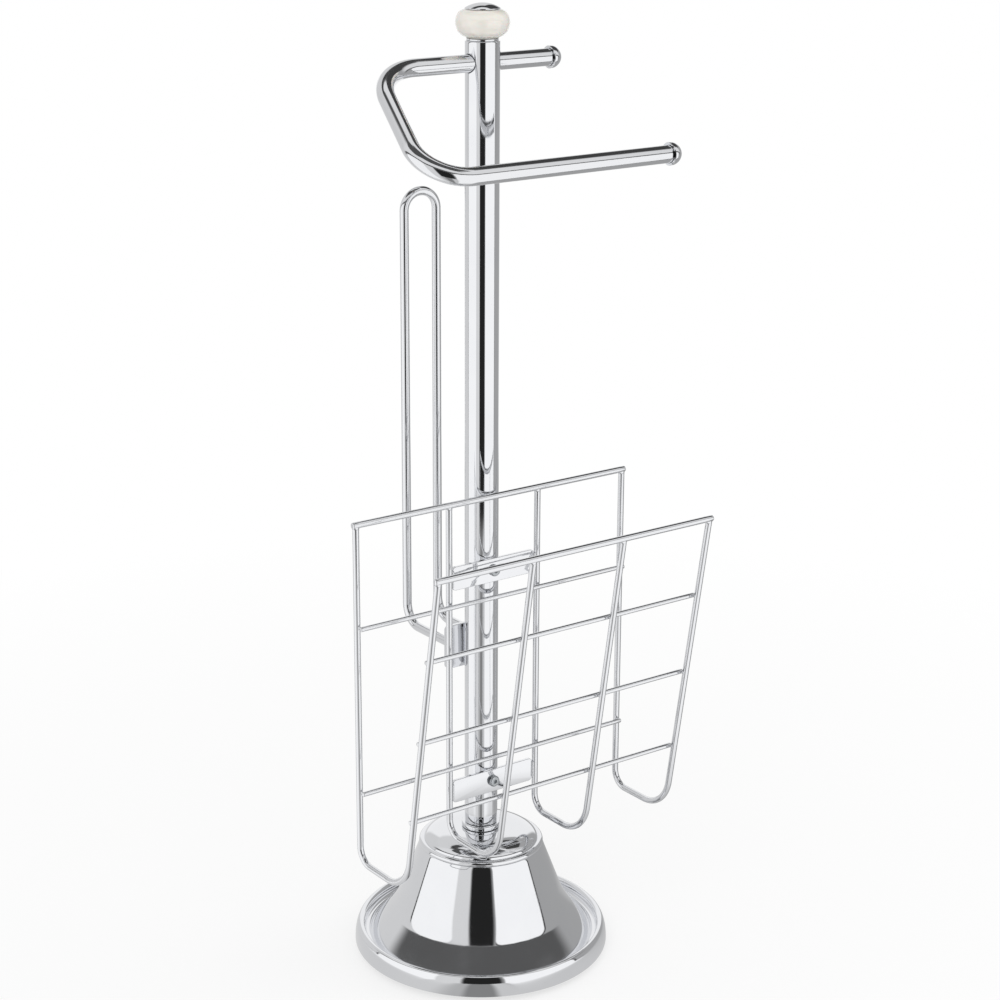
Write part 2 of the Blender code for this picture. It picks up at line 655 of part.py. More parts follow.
def build_rack(parts):
    wire_end = RACK_WIRE_RADIUS + SEAT_GAP
    front_end = RACK_FRONT_HEIGHT - wire_end * math.cos(RACK_FRONT_LEAN)
    floor_corner = front_panel_place(RACK_FLOOR_HEIGHT)[0]
    for i in range(RACK_WIRE_COUNT):
        x = i * RACK_WIRE_PITCH - RACK_HALF_WIDTH
        corners = [
            (x, *front_panel_place(front_end)),
            (x, floor_corner, RACK_FLOOR_HEIGHT),
            (x, RACK_BACK_Y, RACK_FLOOR_HEIGHT),
            (x, RACK_BACK_Y, RACK_BACK_HEIGHT - wire_end),
        ]
        path = rounded_path(corners, (RACK_FRONT_BEND, RACK_BACK_BEND), RACK_BEND_STEPS)
        wire(f"rack_wire_{i + 1}", path, RACK_WIRE_RADIUS, CHROME, parts)

    rail_half = RACK_HALF_WIDTH + RACK_RAIL_OVERHANG
    rails = {
        "rack_front_rail": (-RACK_FRONT_REACH, RACK_FRONT_HEIGHT),
        "rack_back_rail": (RACK_BACK_Y, RACK_BACK_HEIGHT),
    }
    for name, (y, z) in rails.items():
        cross_wire(name, y, z, rail_half, RACK_WIRE_RADIUS, parts)
    bar_half = RACK_HALF_WIDTH + SEAT_GAP
    inward = RACK_WIRE_RADIUS + RACK_BAR_RADIUS + SEAT_GAP
    heights = [RACK_FRONT_HEIGHT - (i + 1) * RACK_BAR_PITCH for i in range(RACK_BAR_COUNT)]
    for i, height in enumerate(heights):
        y, z = front_panel_place(height, inward)
        cross_wire(f"rack_front_bar_{i + 1}", y, z, bar_half, RACK_BAR_RADIUS, parts)
    y = RACK_BACK_Y - inward
    for i, level in enumerate(RACK_BACK_BARS):
        z = heights[level - 1]
        cross_wire(f"rack_back_bar_{i + 1}", y, z, bar_half, RACK_BAR_RADIUS, parts)


def bracket_screw(name, seat_y, outward, place_z, cutters, parts):
    """A socket screw whose head bears on the plate face at seat_y, and its insert in the pole."""
    frame = empty_at(f"{name}_place", (0, seat_y, place_z), parts)
    frame.rotation_euler.x = -outward * QUARTER_TURN
    pole_face = POLE_RADIUS - abs(seat_y)
    inner = POLE_RADIUS - POLE_WALL
    bulb_top = math.sqrt(inner**2 - INSERT_BULB_RADIUS**2) - abs(seat_y) - SEAT_GAP
    insert_foot = bulb_top - INSERT_LENGTH
    head_foot = SEAT_GAP
    head_top = head_foot + SCREW_HEAD_HEIGHT
    screw = turned(
        name,
        [
            (0, head_top),
            (SCREW_HEAD_RADIUS - SCREW_HEAD_ROUND, head_top),
            (SCREW_HEAD_RADIUS, head_top - SCREW_HEAD_ROUND),
            (SCREW_HEAD_RADIUS, head_foot),
            (SCREW_RADIUS, head_foot),
            (SCREW_RADIUS, insert_foot),
            (0, insert_foot),
        ],
        ZINC,
        parts,
        SMALL_STEPS,
        parent=frame,
    )
    socket = prism_cutter(
        f"cut_{name}_socket",
        across_corners(SCREW_SOCKET_FLATS),
        2 * SCREW_SOCKET_DEPTH,
        (0, 0, head_top),
        (0, 0, 1),
        cutters,
        HEX_SIDES,
        frame,
    )
    cut(screw, socket)

    bore = SCREW_RADIUS + SEAT_GAP
    sleeve_top = pole_face - SEAT_GAP
    insert = [
        (bore, sleeve_top),
        (INSERT_SLEEVE_RADIUS, sleeve_top),
        (INSERT_SLEEVE_RADIUS, bulb_top),
        (INSERT_BULB_RADIUS, bulb_top),
        (INSERT_BULB_RADIUS, insert_foot),
        (bore, insert_foot),
    ]
    turned(f"{name}_insert", insert, ZINC, parts, SMALL_STEPS, closed=True, parent=frame)


def build_rack_brackets(parts, cutters):
    half_width = RACK_WIRE_PITCH / 2 - RACK_WIRE_RADIUS - SEAT_GAP
    y = -(POLE_RADIUS + SEAT_GAP + BRACKET_THICKNESS / 2)
    seat_y = y - BRACKET_THICKNESS / 2
    edge = rounded_rectangle(half_width, BRACKET_HEIGHT / 2, BRACKET_CORNER, BRACKET_CORNER_STEPS)
    hole = circle_outline((0, 0), SCREW_RADIUS + SEAT_GAP, SMALL_STEPS)
    for level, z in (("upper", UPPER_BRACKET_Z), ("lower", LOWER_BRACKET_Z)):
        name = f"rack_bracket_{level}"
        bracket = flat_plate(name, [edge, hole], BRACKET_THICKNESS, CHROME, parts)
        bracket.location = (0, y, z)
        bracket_screw(f"rack_screw_{level}", seat_y, -1, z, cutters, parts)


def build_spare_loop(parts, cutters):
    y = POLE_RADIUS + SEAT_GAP + LOOP_BRACKET_THICKNESS / 2
    seat_y = y + LOOP_BRACKET_THICKNESS / 2
    edge = rounded_rectangle(
        LOOP_BRACKET_HALF_WIDTH, LOOP_BRACKET_HALF_HEIGHT, BRACKET_CORNER, BRACKET_CORNER_STEPS
    )
    holes = [
        circle_outline((0, side * LOOP_SCREW_SPACING / 2), SCREW_RADIUS + SEAT_GAP, SMALL_STEPS)
        for side in (-1, 1)
    ]
    plate = flat_plate("loop_bracket", [edge] + holes, LOOP_BRACKET_THICKNESS, CHROME, parts)
    plate.location = (0, y, LOOP_RUN_HEIGHT)
    for i, side in enumerate((1, -1)):
        z = LOOP_RUN_HEIGHT + side * LOOP_SCREW_SPACING / 2
        bracket_screw(f"loop_screw_{i + 1}", seat_y, 1, z, cutters, parts)

    run_end = seat_y + SEAT_GAP
    arch = LOOP_TOP - LOOP_WIRE_RADIUS
    corners = [
        (LOOP_LEG_X, run_end, LOOP_RUN_HEIGHT),
        (LOOP_LEG_X, LOOP_DISTANCE, LOOP_RUN_HEIGHT),
        (LOOP_LEG_X, LOOP_DISTANCE, arch),
        (-LOOP_LEG_X, LOOP_DISTANCE, arch),
        (-LOOP_LEG_X, LOOP_DISTANCE, LOOP_RUN_HEIGHT),
        (-LOOP_LEG_X, run_end, LOOP_RUN_HEIGHT),
    ]
    arch_bend = LOOP_LEG_X - SEAT_GAP
    radii = (LOOP_BEND, arch_bend, arch_bend, LOOP_BEND)
    path = rounded_path(corners, radii, LOOP_BEND_STEPS)
    wire("spare_roll_loop", path, LOOP_WIRE_RADIUS, CHROME, parts, 3)


def main():
    clear_scene()
    parts = make_collection("toilet_roll_holder")
    cutters = make_collection("cutters")
    build_base(parts, cutters)
    build_pole(parts, cutters)
    build_arm(parts)
    build_knob(parts)
    build_rack(parts)
    build_rack_brackets(parts, cutters)
    build_spare_loop(parts, cutters)


main()
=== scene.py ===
"""Looks of the free-standing toilet roll holder: bright chrome base, pole, arm, loop and rack,
a glazed ceramic clamp knob, and the studio that chrome is photographed in.

Sizes are in millimetres until put_mesh turns them to metres; +Z is up, in the frame of the
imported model. Every new piece is a surface worked out with numpy: a profile turned about an
axis, a round section swept along a bent path, or a grid of points.
"""

import math

import bpy
import numpy as np
from mathutils import Matrix

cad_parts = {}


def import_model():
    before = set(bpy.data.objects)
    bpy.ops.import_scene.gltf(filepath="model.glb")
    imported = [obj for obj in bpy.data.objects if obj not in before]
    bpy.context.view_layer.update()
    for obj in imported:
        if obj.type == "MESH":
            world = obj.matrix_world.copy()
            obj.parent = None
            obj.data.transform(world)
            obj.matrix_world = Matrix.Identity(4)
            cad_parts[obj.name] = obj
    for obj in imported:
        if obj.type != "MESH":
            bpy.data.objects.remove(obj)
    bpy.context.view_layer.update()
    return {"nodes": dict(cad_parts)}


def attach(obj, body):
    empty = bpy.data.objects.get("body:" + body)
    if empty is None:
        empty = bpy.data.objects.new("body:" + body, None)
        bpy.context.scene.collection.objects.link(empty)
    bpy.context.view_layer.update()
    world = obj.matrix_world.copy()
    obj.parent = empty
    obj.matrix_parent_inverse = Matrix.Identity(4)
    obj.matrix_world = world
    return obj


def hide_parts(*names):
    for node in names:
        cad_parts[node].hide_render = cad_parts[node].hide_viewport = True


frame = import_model()

MM = 0.001
TURN = 2 * math.pi
GAP = 0.3

# Pole, its plugs and the rod's bore
POLE_R, POLE_WALL, POLE_FOOT, POLE_TOP = 11.0, 1.2, 91.6, 611.0
PLUG_R, FOOT_FLANGE_R, TOP_FLANGE_R, TOP_FLANGE_Z = 9.5, 13.0, 10.1, 612.5
FOOT_PLUG_TOP, TOP_PLUG_FOOT, BOLT_HOLE_R, STUD_HOLE_R = 115.3, 582.0, 4.3, 3.3

# Bell
BASE_R, SHELL_WALL, LIP_Z, LIP_R = 85.9, 1.2, 4.4, 1.6
RIM_TOP, RIM_INSET, RIM_INNER_R = 18.7, 3.9, 2.6
GROOVE_R, GROOVE_Z, SKIRT_SLOPE = 2.5, 11.2, math.radians(38)
FLARE_Z, FLARE_BLEND, SHOULDER = 35.1, 9.0, (41.9, 75.2)
BEAD_R, DOME_Z = 2.4, 88.0

# Arm
ROD_R, ARM_Z, ARM_DROOP = 5.5, 597.7, math.radians(29.4)
STUB_END, SIDE_OFFSET, REACH, FREE_END = 52.5, 78.8, 103.9, 75.4
SIDE_LEAN, UPPER_BEND, LOWER_BEND = math.radians(13.4), 36.6, 24.8
END_CAP_R, END_CAP_SKIRT, END_CAP_SEAT, END_CAP_BEVEL = 7.1, -1.2, 1.0, 0.3

# Knob
KNOB_FOOT, KNOB_NECK_R, KNOB_NECK_FOOT, KNOB_TOP = 613.7, 5.5, 9.0, 16.0
CAP_R, CAP_RISE, CAP_TOP, CAP_NECK_R = 11.1, 3.1, 20.0, 5.2
WASHER_R, WASHER_TOP, WASHER_FOOT = 10.2, -0.3, -0.9

# Rack
WIRE_R, BAR_R, PITCH, BAR_PITCH = 2.1, 1.6, 70.1, 56.0994
RACK_FLOOR, FRONT_Z, BACK_Z, FRONT_REACH = 96.0, 312.6, 323.8, 102.8
FRONT_LEAN, FRONT_BEND, BACK_BEND, OVERHANG = math.radians(9.4), 26.0, 11.0, 2.6
BACK_Y = -(POLE_R + GAP + WIRE_R)
BRACKET_HEIGHT, BRACKET_DEPTH, BRACKET_ZS = 16.0, 2.5, (273.8, 125.3)
PLATE_CORNER, PLATE_EASE, SCREW_HOLE_R = 3.0, 0.4, 2.3

# Welds
CROSS_REACH, CROSS_SINK, CROSS_TIP, CROSS_HOLLOW = 1.45, 0.2, 0.6, 0.28
COLLAR_R, COLLAR_FOOT, COLLAR_LONG, COLLAR_WIDE, COLLAR_HOLLOW = 2.13, -3.5, 2.55, 1.8, 0.08
RUN_HALF, RUN_R, RUN_STEP, RUN_RIPPLE = 5.6, 0.85, 0.16, (0.07, 1.1)
RUN_PLACES = (("front", 32.8, -14.0), ("back", 33.3, -11.8))

# Spare roll loop
LOOP_R, LOOP_X, LOOP_Y, LOOP_RUN, LOOP_TOP = 3.0, 12.5, 68.7, 216.0, 512.4
LOOP_BEND, LOOP_PLATE, LOOP_PLATE_DEPTH, LOOP_SCREW_Z = 14.0, (20.0, 15.0), 3.0, 8.0

# Button-head screws: socket, dome and shank
SOCKET_R, SOCKET_FOOT, HEAD_TOP, HEAD_R, HEAD_DOME_R = 1.25, 1.3, 2.7, 3.8, 1.3
SHANK_R, SHANK_POINT_R, RACK_SHANK, LOOP_SHANK = 2.0, 1.6, -10.34, -10.84

# Studio: brightness of its cards, where 1 is white, and the room's size
SOFT_BOX, FAR_WHITE, OVER_FRONT, LEFT_EDGE = 1.12, 1.02, 0.86, 0.80
BACK_PALE, LEFT_PALE, RIGHT_GREY = 0.76, 0.74, 0.42
GAP_DARK, ROOF_DARK, BACK_DARK, FRAME_DARK, STRIP_DARK = 0.11, 0.09, 0.06, 0.05, 0.02
ROOM_R, ROOM_STEP, ROOM_TOP, ROOF_RISE, BELL_MIDDLE = 1000, 500, 2150.0, 300, 30
GAP_FOOT, GAP_RISE = 8, 215

# Camera, in metres and degrees: where it stands and how it is turned
CAMERA_TURN, CAMERA_PITCH, CAMERA_ROLL = (math.radians(a) for a in (-35.706, 17.35, 0.12))
CAMERA_AWAY, CAMERA_HEIGHT, CAMERA_LENS, CAMERA_SHIFT = 1.4108, 0.7586, 82.26, 0.0184


def linear(code, level=1.0):
    """An sRGB hex colour as linear RGBA, scaled by a level."""
    parts = [int(code[i : i + 2], 16) / 255 for i in (1, 3, 5)]
    curve = [c / 12.92 if c <= 0.04045 else ((c + 0.055) / 1.055) ** 2.4 for c in parts]
    return (*[c * level for c in curve], 1.0)


# Surfaces


def put_mesh(name, points, faces, uv=None, smooth_angle=40):
    """A mesh from points in millimetres and a list of face index arrays, turned to face outwards
    by the sign of its volume, with edges sharper than an angle left sharp."""
    points = np.asarray(points, float) * MM
    volume = 0.0
    for block in faces:
        a = points[block[:, 0]]
        for k in range(1, block.shape[1] - 1):
            b, c = points[block[:, k]], points[block[:, k + 1]]
            volume += np.einsum("ij,ij->", a, np.cross(b, c))
    if volume < 0:
        faces = [block[:, ::-1] for block in faces]
    mesh = bpy.data.meshes.new(name)
    sizes = np.concatenate([np.full(len(b), b.shape[1]) for b in faces])
    corners = np.concatenate([b.ravel() for b in faces])
    mesh.vertices.add(len(points))
    mesh.vertices.foreach_set("co", points.astype(np.float32).ravel())
    mesh.loops.add(len(corners))
    mesh.loops.foreach_set("vertex_index", corners.astype(np.int32))
    mesh.polygons.add(len(sizes))
    mesh.polygons.foreach_set("loop_start", (np.cumsum(sizes) - sizes).astype(np.int32))
    mesh.polygons.foreach_set("loop_total", sizes.astype(np.int32))
    mesh.update(calc_edges=True)
    mesh.validate()
    if uv is not None:
        layer = mesh.uv_layers.new(name="UVMap")
        layer.data.foreach_set("uv", np.asarray(uv, np.float32)[corners].ravel())
    return put_object(name, mesh, smooth_angle)


def put_object(name, mesh, smooth_angle):
    """An object of a mesh, smooth but for its edges sharper than the angle in degrees."""
    mesh.polygons.foreach_set("use_smooth", np.ones(len(mesh.polygons), bool))
    mesh.set_sharp_from_angle(angle=math.radians(smooth_angle))
    obj = bpy.data.objects.new(name, mesh)
    bpy.context.scene.collection.objects.link(obj)
    return obj


def bored(obj, *cutters):
    """The piece with the cutters' solids taken out of it; the cutters are removed."""
    for cutter in cutters:
        hole = obj.modifiers.new(cutter.name, "BOOLEAN")
        hole.operation, hole.object, hole.solver = "DIFFERENCE", cutter, "EXACT"
    cut = obj.evaluated_get(bpy.context.evaluated_depsgraph_get())
    mesh, name = bpy.data.meshes.new_from_object(cut), obj.name
    for old in (obj, *cutters):
        bpy.data.objects.remove(old)
    return put_object(name, mesh, 30)


def grid_faces(rows, cols, close_rows, close_cols, first=0):
    """Quads of a grid of rows by cols points, closed round in either direction."""
    i = np.arange(rows if close_rows else rows - 1)[:, None]
    j = np.arange(cols if close_cols else cols - 1)[None, :]
    a = i * cols + j
    b = i * cols + (j + 1) % cols
    c = (i + 1) % rows * cols + (j + 1) % cols
    d = (i + 1) % rows * cols + j
    return first + np.stack([a, b, c, d], -1).reshape(-1, 4)


def fans(first_row, last_row, cols, first_tip, last_tip):
    """Triangles that close the first and the last ring of a grid to a point each."""
    j = np.arange(cols)
    k = (j + 1) % cols
    return [
        np.stack([np.full(cols, first_tip), first_row + k, first_row + j], -1),
        np.stack([np.full(cols, last_tip), last_row + j, last_row + k], -1),
    ]


def rounded(corners, radii, closed=False, turn=6):
    """Points of a line through the corners, each corner replaced by an arc of its radius that
    touches both straight runs, with a point for every few degrees of turn."""
    corners = np.asarray(corners, float)
    count = len(corners)
    points = [] if closed else [corners[0][None]]
    for i in range(count) if closed else range(1, count - 1):
        corner = corners[i]
        back, ahead = corners[i - 1] - corner, corners[(i + 1) % count] - corner
        back, ahead = back / np.linalg.norm(back), ahead / np.linalg.norm(ahead)
        half = math.acos(np.clip(back @ ahead, -1, 1)) / 2
        radius = radii[i] if closed else radii[i - 1]
        if radius <= 0 or half > math.pi / 2 - 1e-4:
            points.append(corner[None])
            continue
        middle = (back + ahead) / np.linalg.norm(back + ahead)
        centre = corner + middle * radius / math.sin(half)
        sweep = math.pi - 2 * half
        steps = max(2, int(round(math.degrees(sweep) / turn)))
        angle = np.linspace(-sweep / 2, sweep / 2, steps + 1)[:, None]
        side = ahead - middle * (ahead @ middle)
        side /= np.linalg.norm(side)
        points.append(centre + radius * (np.sin(angle) * side - np.cos(angle) * middle))
    if not closed:
        points.append(corners[-1][None])
    return np.concatenate(points)


def arc(centre, radius, start, end, steps):
    """Points at a radius from a centre, from one angle to another, in degrees."""
    a = np.radians(np.linspace(start, end, steps + 1))[:, None]
    return np.asarray(centre, float) + radius * np.hstack([np.cos(a), np.sin(a)])


def curved(start, pull, end, steps):
    """A quadratic curve: (1 - t)^2 start + 2 t (1 - t) pull + t^2 end."""
    t = np.linspace(0, 1, steps + 1)[:, None]
    start, pull, end = (np.asarray(p, float) for p in (start, pull, end))
    return (1 - t) ** 2 * start + 2 * t * (1 - t) * pull + t**2 * end


def turned(name, profile, steps=128, closed=True, place=None, smooth_angle=40, hexed=None):
    """A profile of (radius, height) points carried round Z: x = r cos a, y = r sin a. An open
    profile starts and ends on the axis. Rings whose share in hexed is 1 follow a hexagon that
    has the ring's radius as half its width across flats. place carries the points to where
    the piece sits."""
    profile = np.asarray(profile, float)
    a = np.linspace(0, TURN, steps, endpoint=False)
    ring = profile if closed else profile[1:-1]
    r, z = ring[:, :1], ring[:, 1:]
    if hexed is not None:
        across = 1 / np.cos((a + TURN / 12) % (TURN / 6) - TURN / 12)
        r = r * (1 + np.asarray(hexed, float)[:, None] * (across - 1))
    points = np.stack([r * np.cos(a), r * np.sin(a), z + 0 * a], -1).reshape(-1, 3)
    faces = [grid_faces(len(ring), steps, closed, True)]
    if not closed:
        last = len(points)
        points = np.vstack([points, [0, 0, profile[0, 1]], [0, 0, profile[-1, 1]]])
        faces += fans(0, (len(ring) - 1) * steps, steps, last, last + 1)
    if place is not None:
        points = place(points)
    return put_mesh(name, points, faces, smooth_angle=smooth_angle)


def frames_along(path):
    """Unit tangents and two normals at each point of a path. The normals are carried along by
    the least turn, so a tube round them does not twist."""
    step = np.diff(path, axis=0)
    step /= np.linalg.norm(step, axis=1)[:, None]
    tangent = np.vstack([step[:1], step[:-1] + step[1:], step[-1:]])
    tangent /= np.linalg.norm(tangent, axis=1)[:, None]
    first = np.cross(tangent[0], [0.3, 0.5, 0.8])
    normals = [first / np.linalg.norm(first)]
    for t in tangent[1:]:
        n = normals[-1] - t * (normals[-1] @ t)
        normals.append(n / np.linalg.norm(n))
    normals = np.array(normals)
    return tangent, normals, np.cross(tangent, normals)


def spaced(path, step):
    """The path with points added so that none is further than a step from the next."""
    path = np.asarray(path, float)
    pieces = [path[:1]]
    for a, b in zip(path[:-1], path[1:]):
        n = max(1, int(np.linalg.norm(b - a) / step))
        pieces.append(a + (b - a) * np.linspace(0, 1, n + 1)[1:, None])
    return np.concatenate(pieces)


def swept(name, path, radius, around=32, end_round=0.45, step=6.0, ripple=(0.0, 1.0)):
    """A round section carried along a path: p = c + r (cos a n + sin a b), its ends rounded over
    by a share of the radius. ripple makes r swell by a share once every so many millimetres.
    UV is metres along the path and metres round the section."""
    path = spaced(path, step)
    tangent, n, b = frames_along(path)
    ease, turn = radius * end_round, np.radians(np.linspace(90, 0, 5))
    cap_r, cap_s = radius - ease + ease * np.cos(turn), ease - ease * np.sin(turn)
    start = path[0] + tangent[0] * cap_s[:, None]
    finish = (path[-1] - tangent[-1] * cap_s[:, None])[::-1]
    inner = slice(1, -1)
    radii = np.concatenate([cap_r, np.full(len(path) - 2, radius), cap_r[::-1]])
    path = np.vstack([start, path[inner], finish])
    n = np.vstack([np.repeat(n[:1], 5, 0), n[inner], np.repeat(n[-1:], 5, 0)])
    b = np.vstack([np.repeat(b[:1], 5, 0), b[inner], np.repeat(b[-1:], 5, 0)])
    length = np.concatenate([[0], np.cumsum(np.linalg.norm(np.diff(path, axis=0), axis=1))])
    radii = radii * (1 + ripple[0] * np.cos(TURN * length / ripple[1]))
    a = np.linspace(0, TURN, around, endpoint=False)
    ring = np.cos(a)[None, :, None] * n[:, None] + np.sin(a)[None, :, None] * b[:, None]
    points = (path[:, None] + radii[:, None, None] * ring).reshape(-1, 3)
    uv = np.stack(np.broadcast_arrays(length[:, None], a[None] * radius), -1).reshape(-1, 2) * MM
    top = len(points)
    faces = [grid_faces(len(path), around, False, True)]
    faces += fans(0, (len(path) - 1) * around, around, top, top + 1)
    points = np.vstack([points, path[:1], path[-1:]])
    return put_mesh(name, points, faces, np.vstack([uv, uv[:1], uv[-1:]]))


def plate(name, half_x, half_z, depth, corner, edge, place):
    """A flat plate with rounded corners and eased edges: its outline drawn in along its normal
    by edge (1 - cos t) while it drops by edge (1 - sin t), at both faces."""
    box = [(-half_x, -half_z), (half_x, -half_z), (half_x, half_z), (-half_x, half_z)]
    line = rounded(box, (corner,) * 4, closed=True, turn=9)
    along = np.roll(line, -1, 0) - np.roll(line, 1, 0)
    normal = np.stack([along[:, 1], -along[:, 0]], 1) / np.linalg.norm(along, axis=1)[:, None]
    turn = np.radians(np.linspace(0, 90, 5))
    inset = edge * (1 - np.cos(turn))
    height = depth / 2 - edge * (1 - np.sin(turn))
    insets = np.concatenate([inset[::-1], inset])
    heights = np.concatenate([height[::-1], -height])
    rings = line - normal * insets[:, None, None]
    lift = np.broadcast_to(heights[:, None, None], rings.shape[:2] + (1,))
    points = np.concatenate([rings, lift], -1).reshape(-1, 3)
    cols = len(line)
    faces = [grid_faces(len(insets), cols, False, True)]
    faces += [np.arange(cols)[None, ::-1], ((len(insets) - 1) * cols + np.arange(cols))[None]]
    return put_mesh(name, place(points), faces, smooth_angle=30)


def arm_place(points):
    """From the arm's flat plane to its place: tipped down about the rod's axis."""
    points = np.asarray(points, float)
    c, s = math.cos(ARM_DROOP), math.sin(ARM_DROOP)
    x, y, z = points.T
    return np.stack([x, y * c - z * s, ARM_Z + y * s + z * c], 1)


def finished(obj, material, body, *nodes, slot=None):
    """Gives a piece its material and its body, and hides the nodes that it stands for."""
    obj.data.materials.clear()
    obj.data.materials.append(material)
    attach(obj, body)
    if nodes:
        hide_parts(*nodes)
    return obj


# Materials


def add(tree, kind, settings=None, links=None):
    """Adds a node, sets its properties and sockets, and links sockets to other nodes' outputs."""
    node = tree.nodes.new(kind)
    for key, value in (settings or {}).items():
        if isinstance(key, str) and hasattr(node, key):
            setattr(node, key, value)
        else:
            node.inputs[key].default_value = value
    for key, output in (links or {}).items():
        tree.links.new(output, node.inputs[key])
    return node


def new_material(name):
    """A material with an empty node tree and its output node."""
    made = bpy.data.materials.new(name)
    made.use_nodes = True
    made.node_tree.nodes.clear()
    return made, made.node_tree, made.node_tree.nodes.new("ShaderNodeOutputMaterial")


def polished_chrome():
    """Bright nickel and chromium plate on polished steel: a clear, faintly blue mirror. Buffing
    leaves waves about 15 mm long and hairlines under 0.2 mm, and handling leaves a thin film in
    patches of 30 mm, which only softens the mirror a little."""
    made, tree, out = new_material("polished_chrome_plate")
    place = add(tree, "ShaderNodeTexCoord").outputs["Object"]
    wave = add(tree, "ShaderNodeTexNoise", {"Scale": 66.0, "Detail": 1.0}, {"Vector": place})
    hair = add(
        tree, "ShaderNodeTexNoise", {"Scale": 2600.0, "Detail": 3.0}, {"Vector": place}
    )
    film = add(
        tree, "ShaderNodeTexNoise", {"Scale": 33.0, "Detail": 5.0, "Roughness": 0.62},
        {"Vector": place},
    )
    soft = add(
        tree, "ShaderNodeMapRange",
        {"From Min": 0.4, "From Max": 0.72, "To Min": 0.03, "To Max": 0.085},
        {"Value": film.outputs["Fac"]},
    )
    tint = add(
        tree, "ShaderNodeMix",
        {"data_type": "RGBA", 6: linear("#E9EAEC"), 7: linear("#E1E2E5")},
        {0: film.outputs["Fac"]},
    )
    waves = add(
        tree, "ShaderNodeBump", {"Strength": 0.012, "Distance": 0.0006},
        {"Height": wave.outputs["Fac"]},
    )
    lines = add(
        tree, "ShaderNodeBump", {"Strength": 0.02, "Distance": 0.00002},
        {"Height": hair.outputs["Fac"], "Normal": waves.outputs["Normal"]},
    )
    shader = add(
        tree, "ShaderNodeBsdfPrincipled", {"Metallic": 1.0},
        {
            "Base Color": tint.outputs[2], "Roughness": soft.outputs["Result"],
            "Normal": lines.outputs["Normal"],
        },
    )
    tree.links.new(shader.outputs["BSDF"], out.inputs["Surface"])
    return made


def drawn_chrome():
    """Chromium plate on drawn steel wire, barrel polished: brighter on its crown than in its
    draw lines, which run along the wire a few tenths of a millimetre apart, drawn here 0.5 mm
    apart so that they show."""
    made, tree, out = new_material("chrome_plated_drawn_wire")
    along = add(tree, "ShaderNodeUVMap", {"uv_map": "UVMap"})
    stretch = add(
        tree, "ShaderNodeMapping", {"Scale": (12.0, 2000.0, 1.0)},
        {"Vector": along.outputs["UV"]},
    )
    lines = add(
        tree, "ShaderNodeTexNoise", {"Scale": 1.0, "Detail": 3.0}, {"Vector": stretch.outputs[0]}
    )
    place = add(tree, "ShaderNodeTexCoord").outputs["Object"]
    film = add(
        tree, "ShaderNodeTexNoise", {"Scale": 45.0, "Detail": 4.0}, {"Vector": place}
    )
    soft = add(
        tree, "ShaderNodeMapRange",
        {"From Min": 0.35, "From Max": 0.7, "To Min": 0.05, "To Max": 0.12},
        {"Value": film.outputs["Fac"]},
    )
    grooves = add(
        tree, "ShaderNodeBump", {"Strength": 0.05, "Distance": 0.00004},
        {"Height": lines.outputs["Fac"]},
    )
    tint = add(
        tree, "ShaderNodeMix",
        {"data_type": "RGBA", 6: linear("#E7E8EA"), 7: linear("#DCDDE0")},
        {0: lines.outputs["Fac"]},
    )
    shader = add(
        tree, "ShaderNodeBsdfPrincipled", {"Metallic": 1.0},
        {
            "Base Color": tint.outputs[2], "Roughness": soft.outputs["Result"],
            "Normal": grooves.outputs["Normal"],
        },
    )
    tree.links.new(shader.outputs["BSDF"], out.inputs["Surface"])
    return made


def porcelain_glaze():
    """Glazed porcelain: a warm white body under clear glass. The glaze pools in slow swells of
    about 8 mm, thins to a slightly warmer tone, and holds a few pinholes 2 mm apart."""
    made, tree, out = new_material("warm_white_porcelain_glaze")
    place = add(tree, "ShaderNodeTexCoord").outputs["Object"]
    pool = add(tree, "ShaderNodeTexNoise", {"Scale": 120.0, "Detail": 2.0}, {"Vector": place})
    pits = add(tree, "ShaderNodeTexVoronoi", {"Scale": 480.0}, {"Vector": place})
    pin = add(
        tree, "ShaderNodeMapRange", {"From Min": 0.0, "From Max": 0.12},
        {"Value": pits.outputs["Distance"]},
    )
    tone = add(
        tree, "ShaderNodeMix",
        {"data_type": "RGBA", 6: linear("#ECE9E3"), 7: linear("#E3DED4")},
        {0: pool.outputs["Fac"]},
    )
    swell = add(
        tree, "ShaderNodeBump", {"Strength": 0.06, "Distance": 0.0004},
        {"Height": pool.outputs["Fac"]},
    )
    holes = add(
        tree, "ShaderNodeBump", {"Strength": 0.12, "Distance": 0.00004},
        {"Height": pin.outputs["Result"], "Normal": swell.outputs["Normal"]},
    )
    shader = add(
        tree, "ShaderNodeBsdfPrincipled",
        {
            "Roughness": 0.32, "IOR": 1.5, "Coat Weight": 1.0, "Coat Roughness": 0.05,
            "Coat IOR": 1.52, "Subsurface Weight": 0.12, "Subsurface Scale": 0.001,
        },
        {"Base Color": tone.outputs[2], "Normal": holes.outputs["Normal"]},
    )
    tree.links.new(shader.outputs["BSDF"], out.inputs["Surface"])
    return made


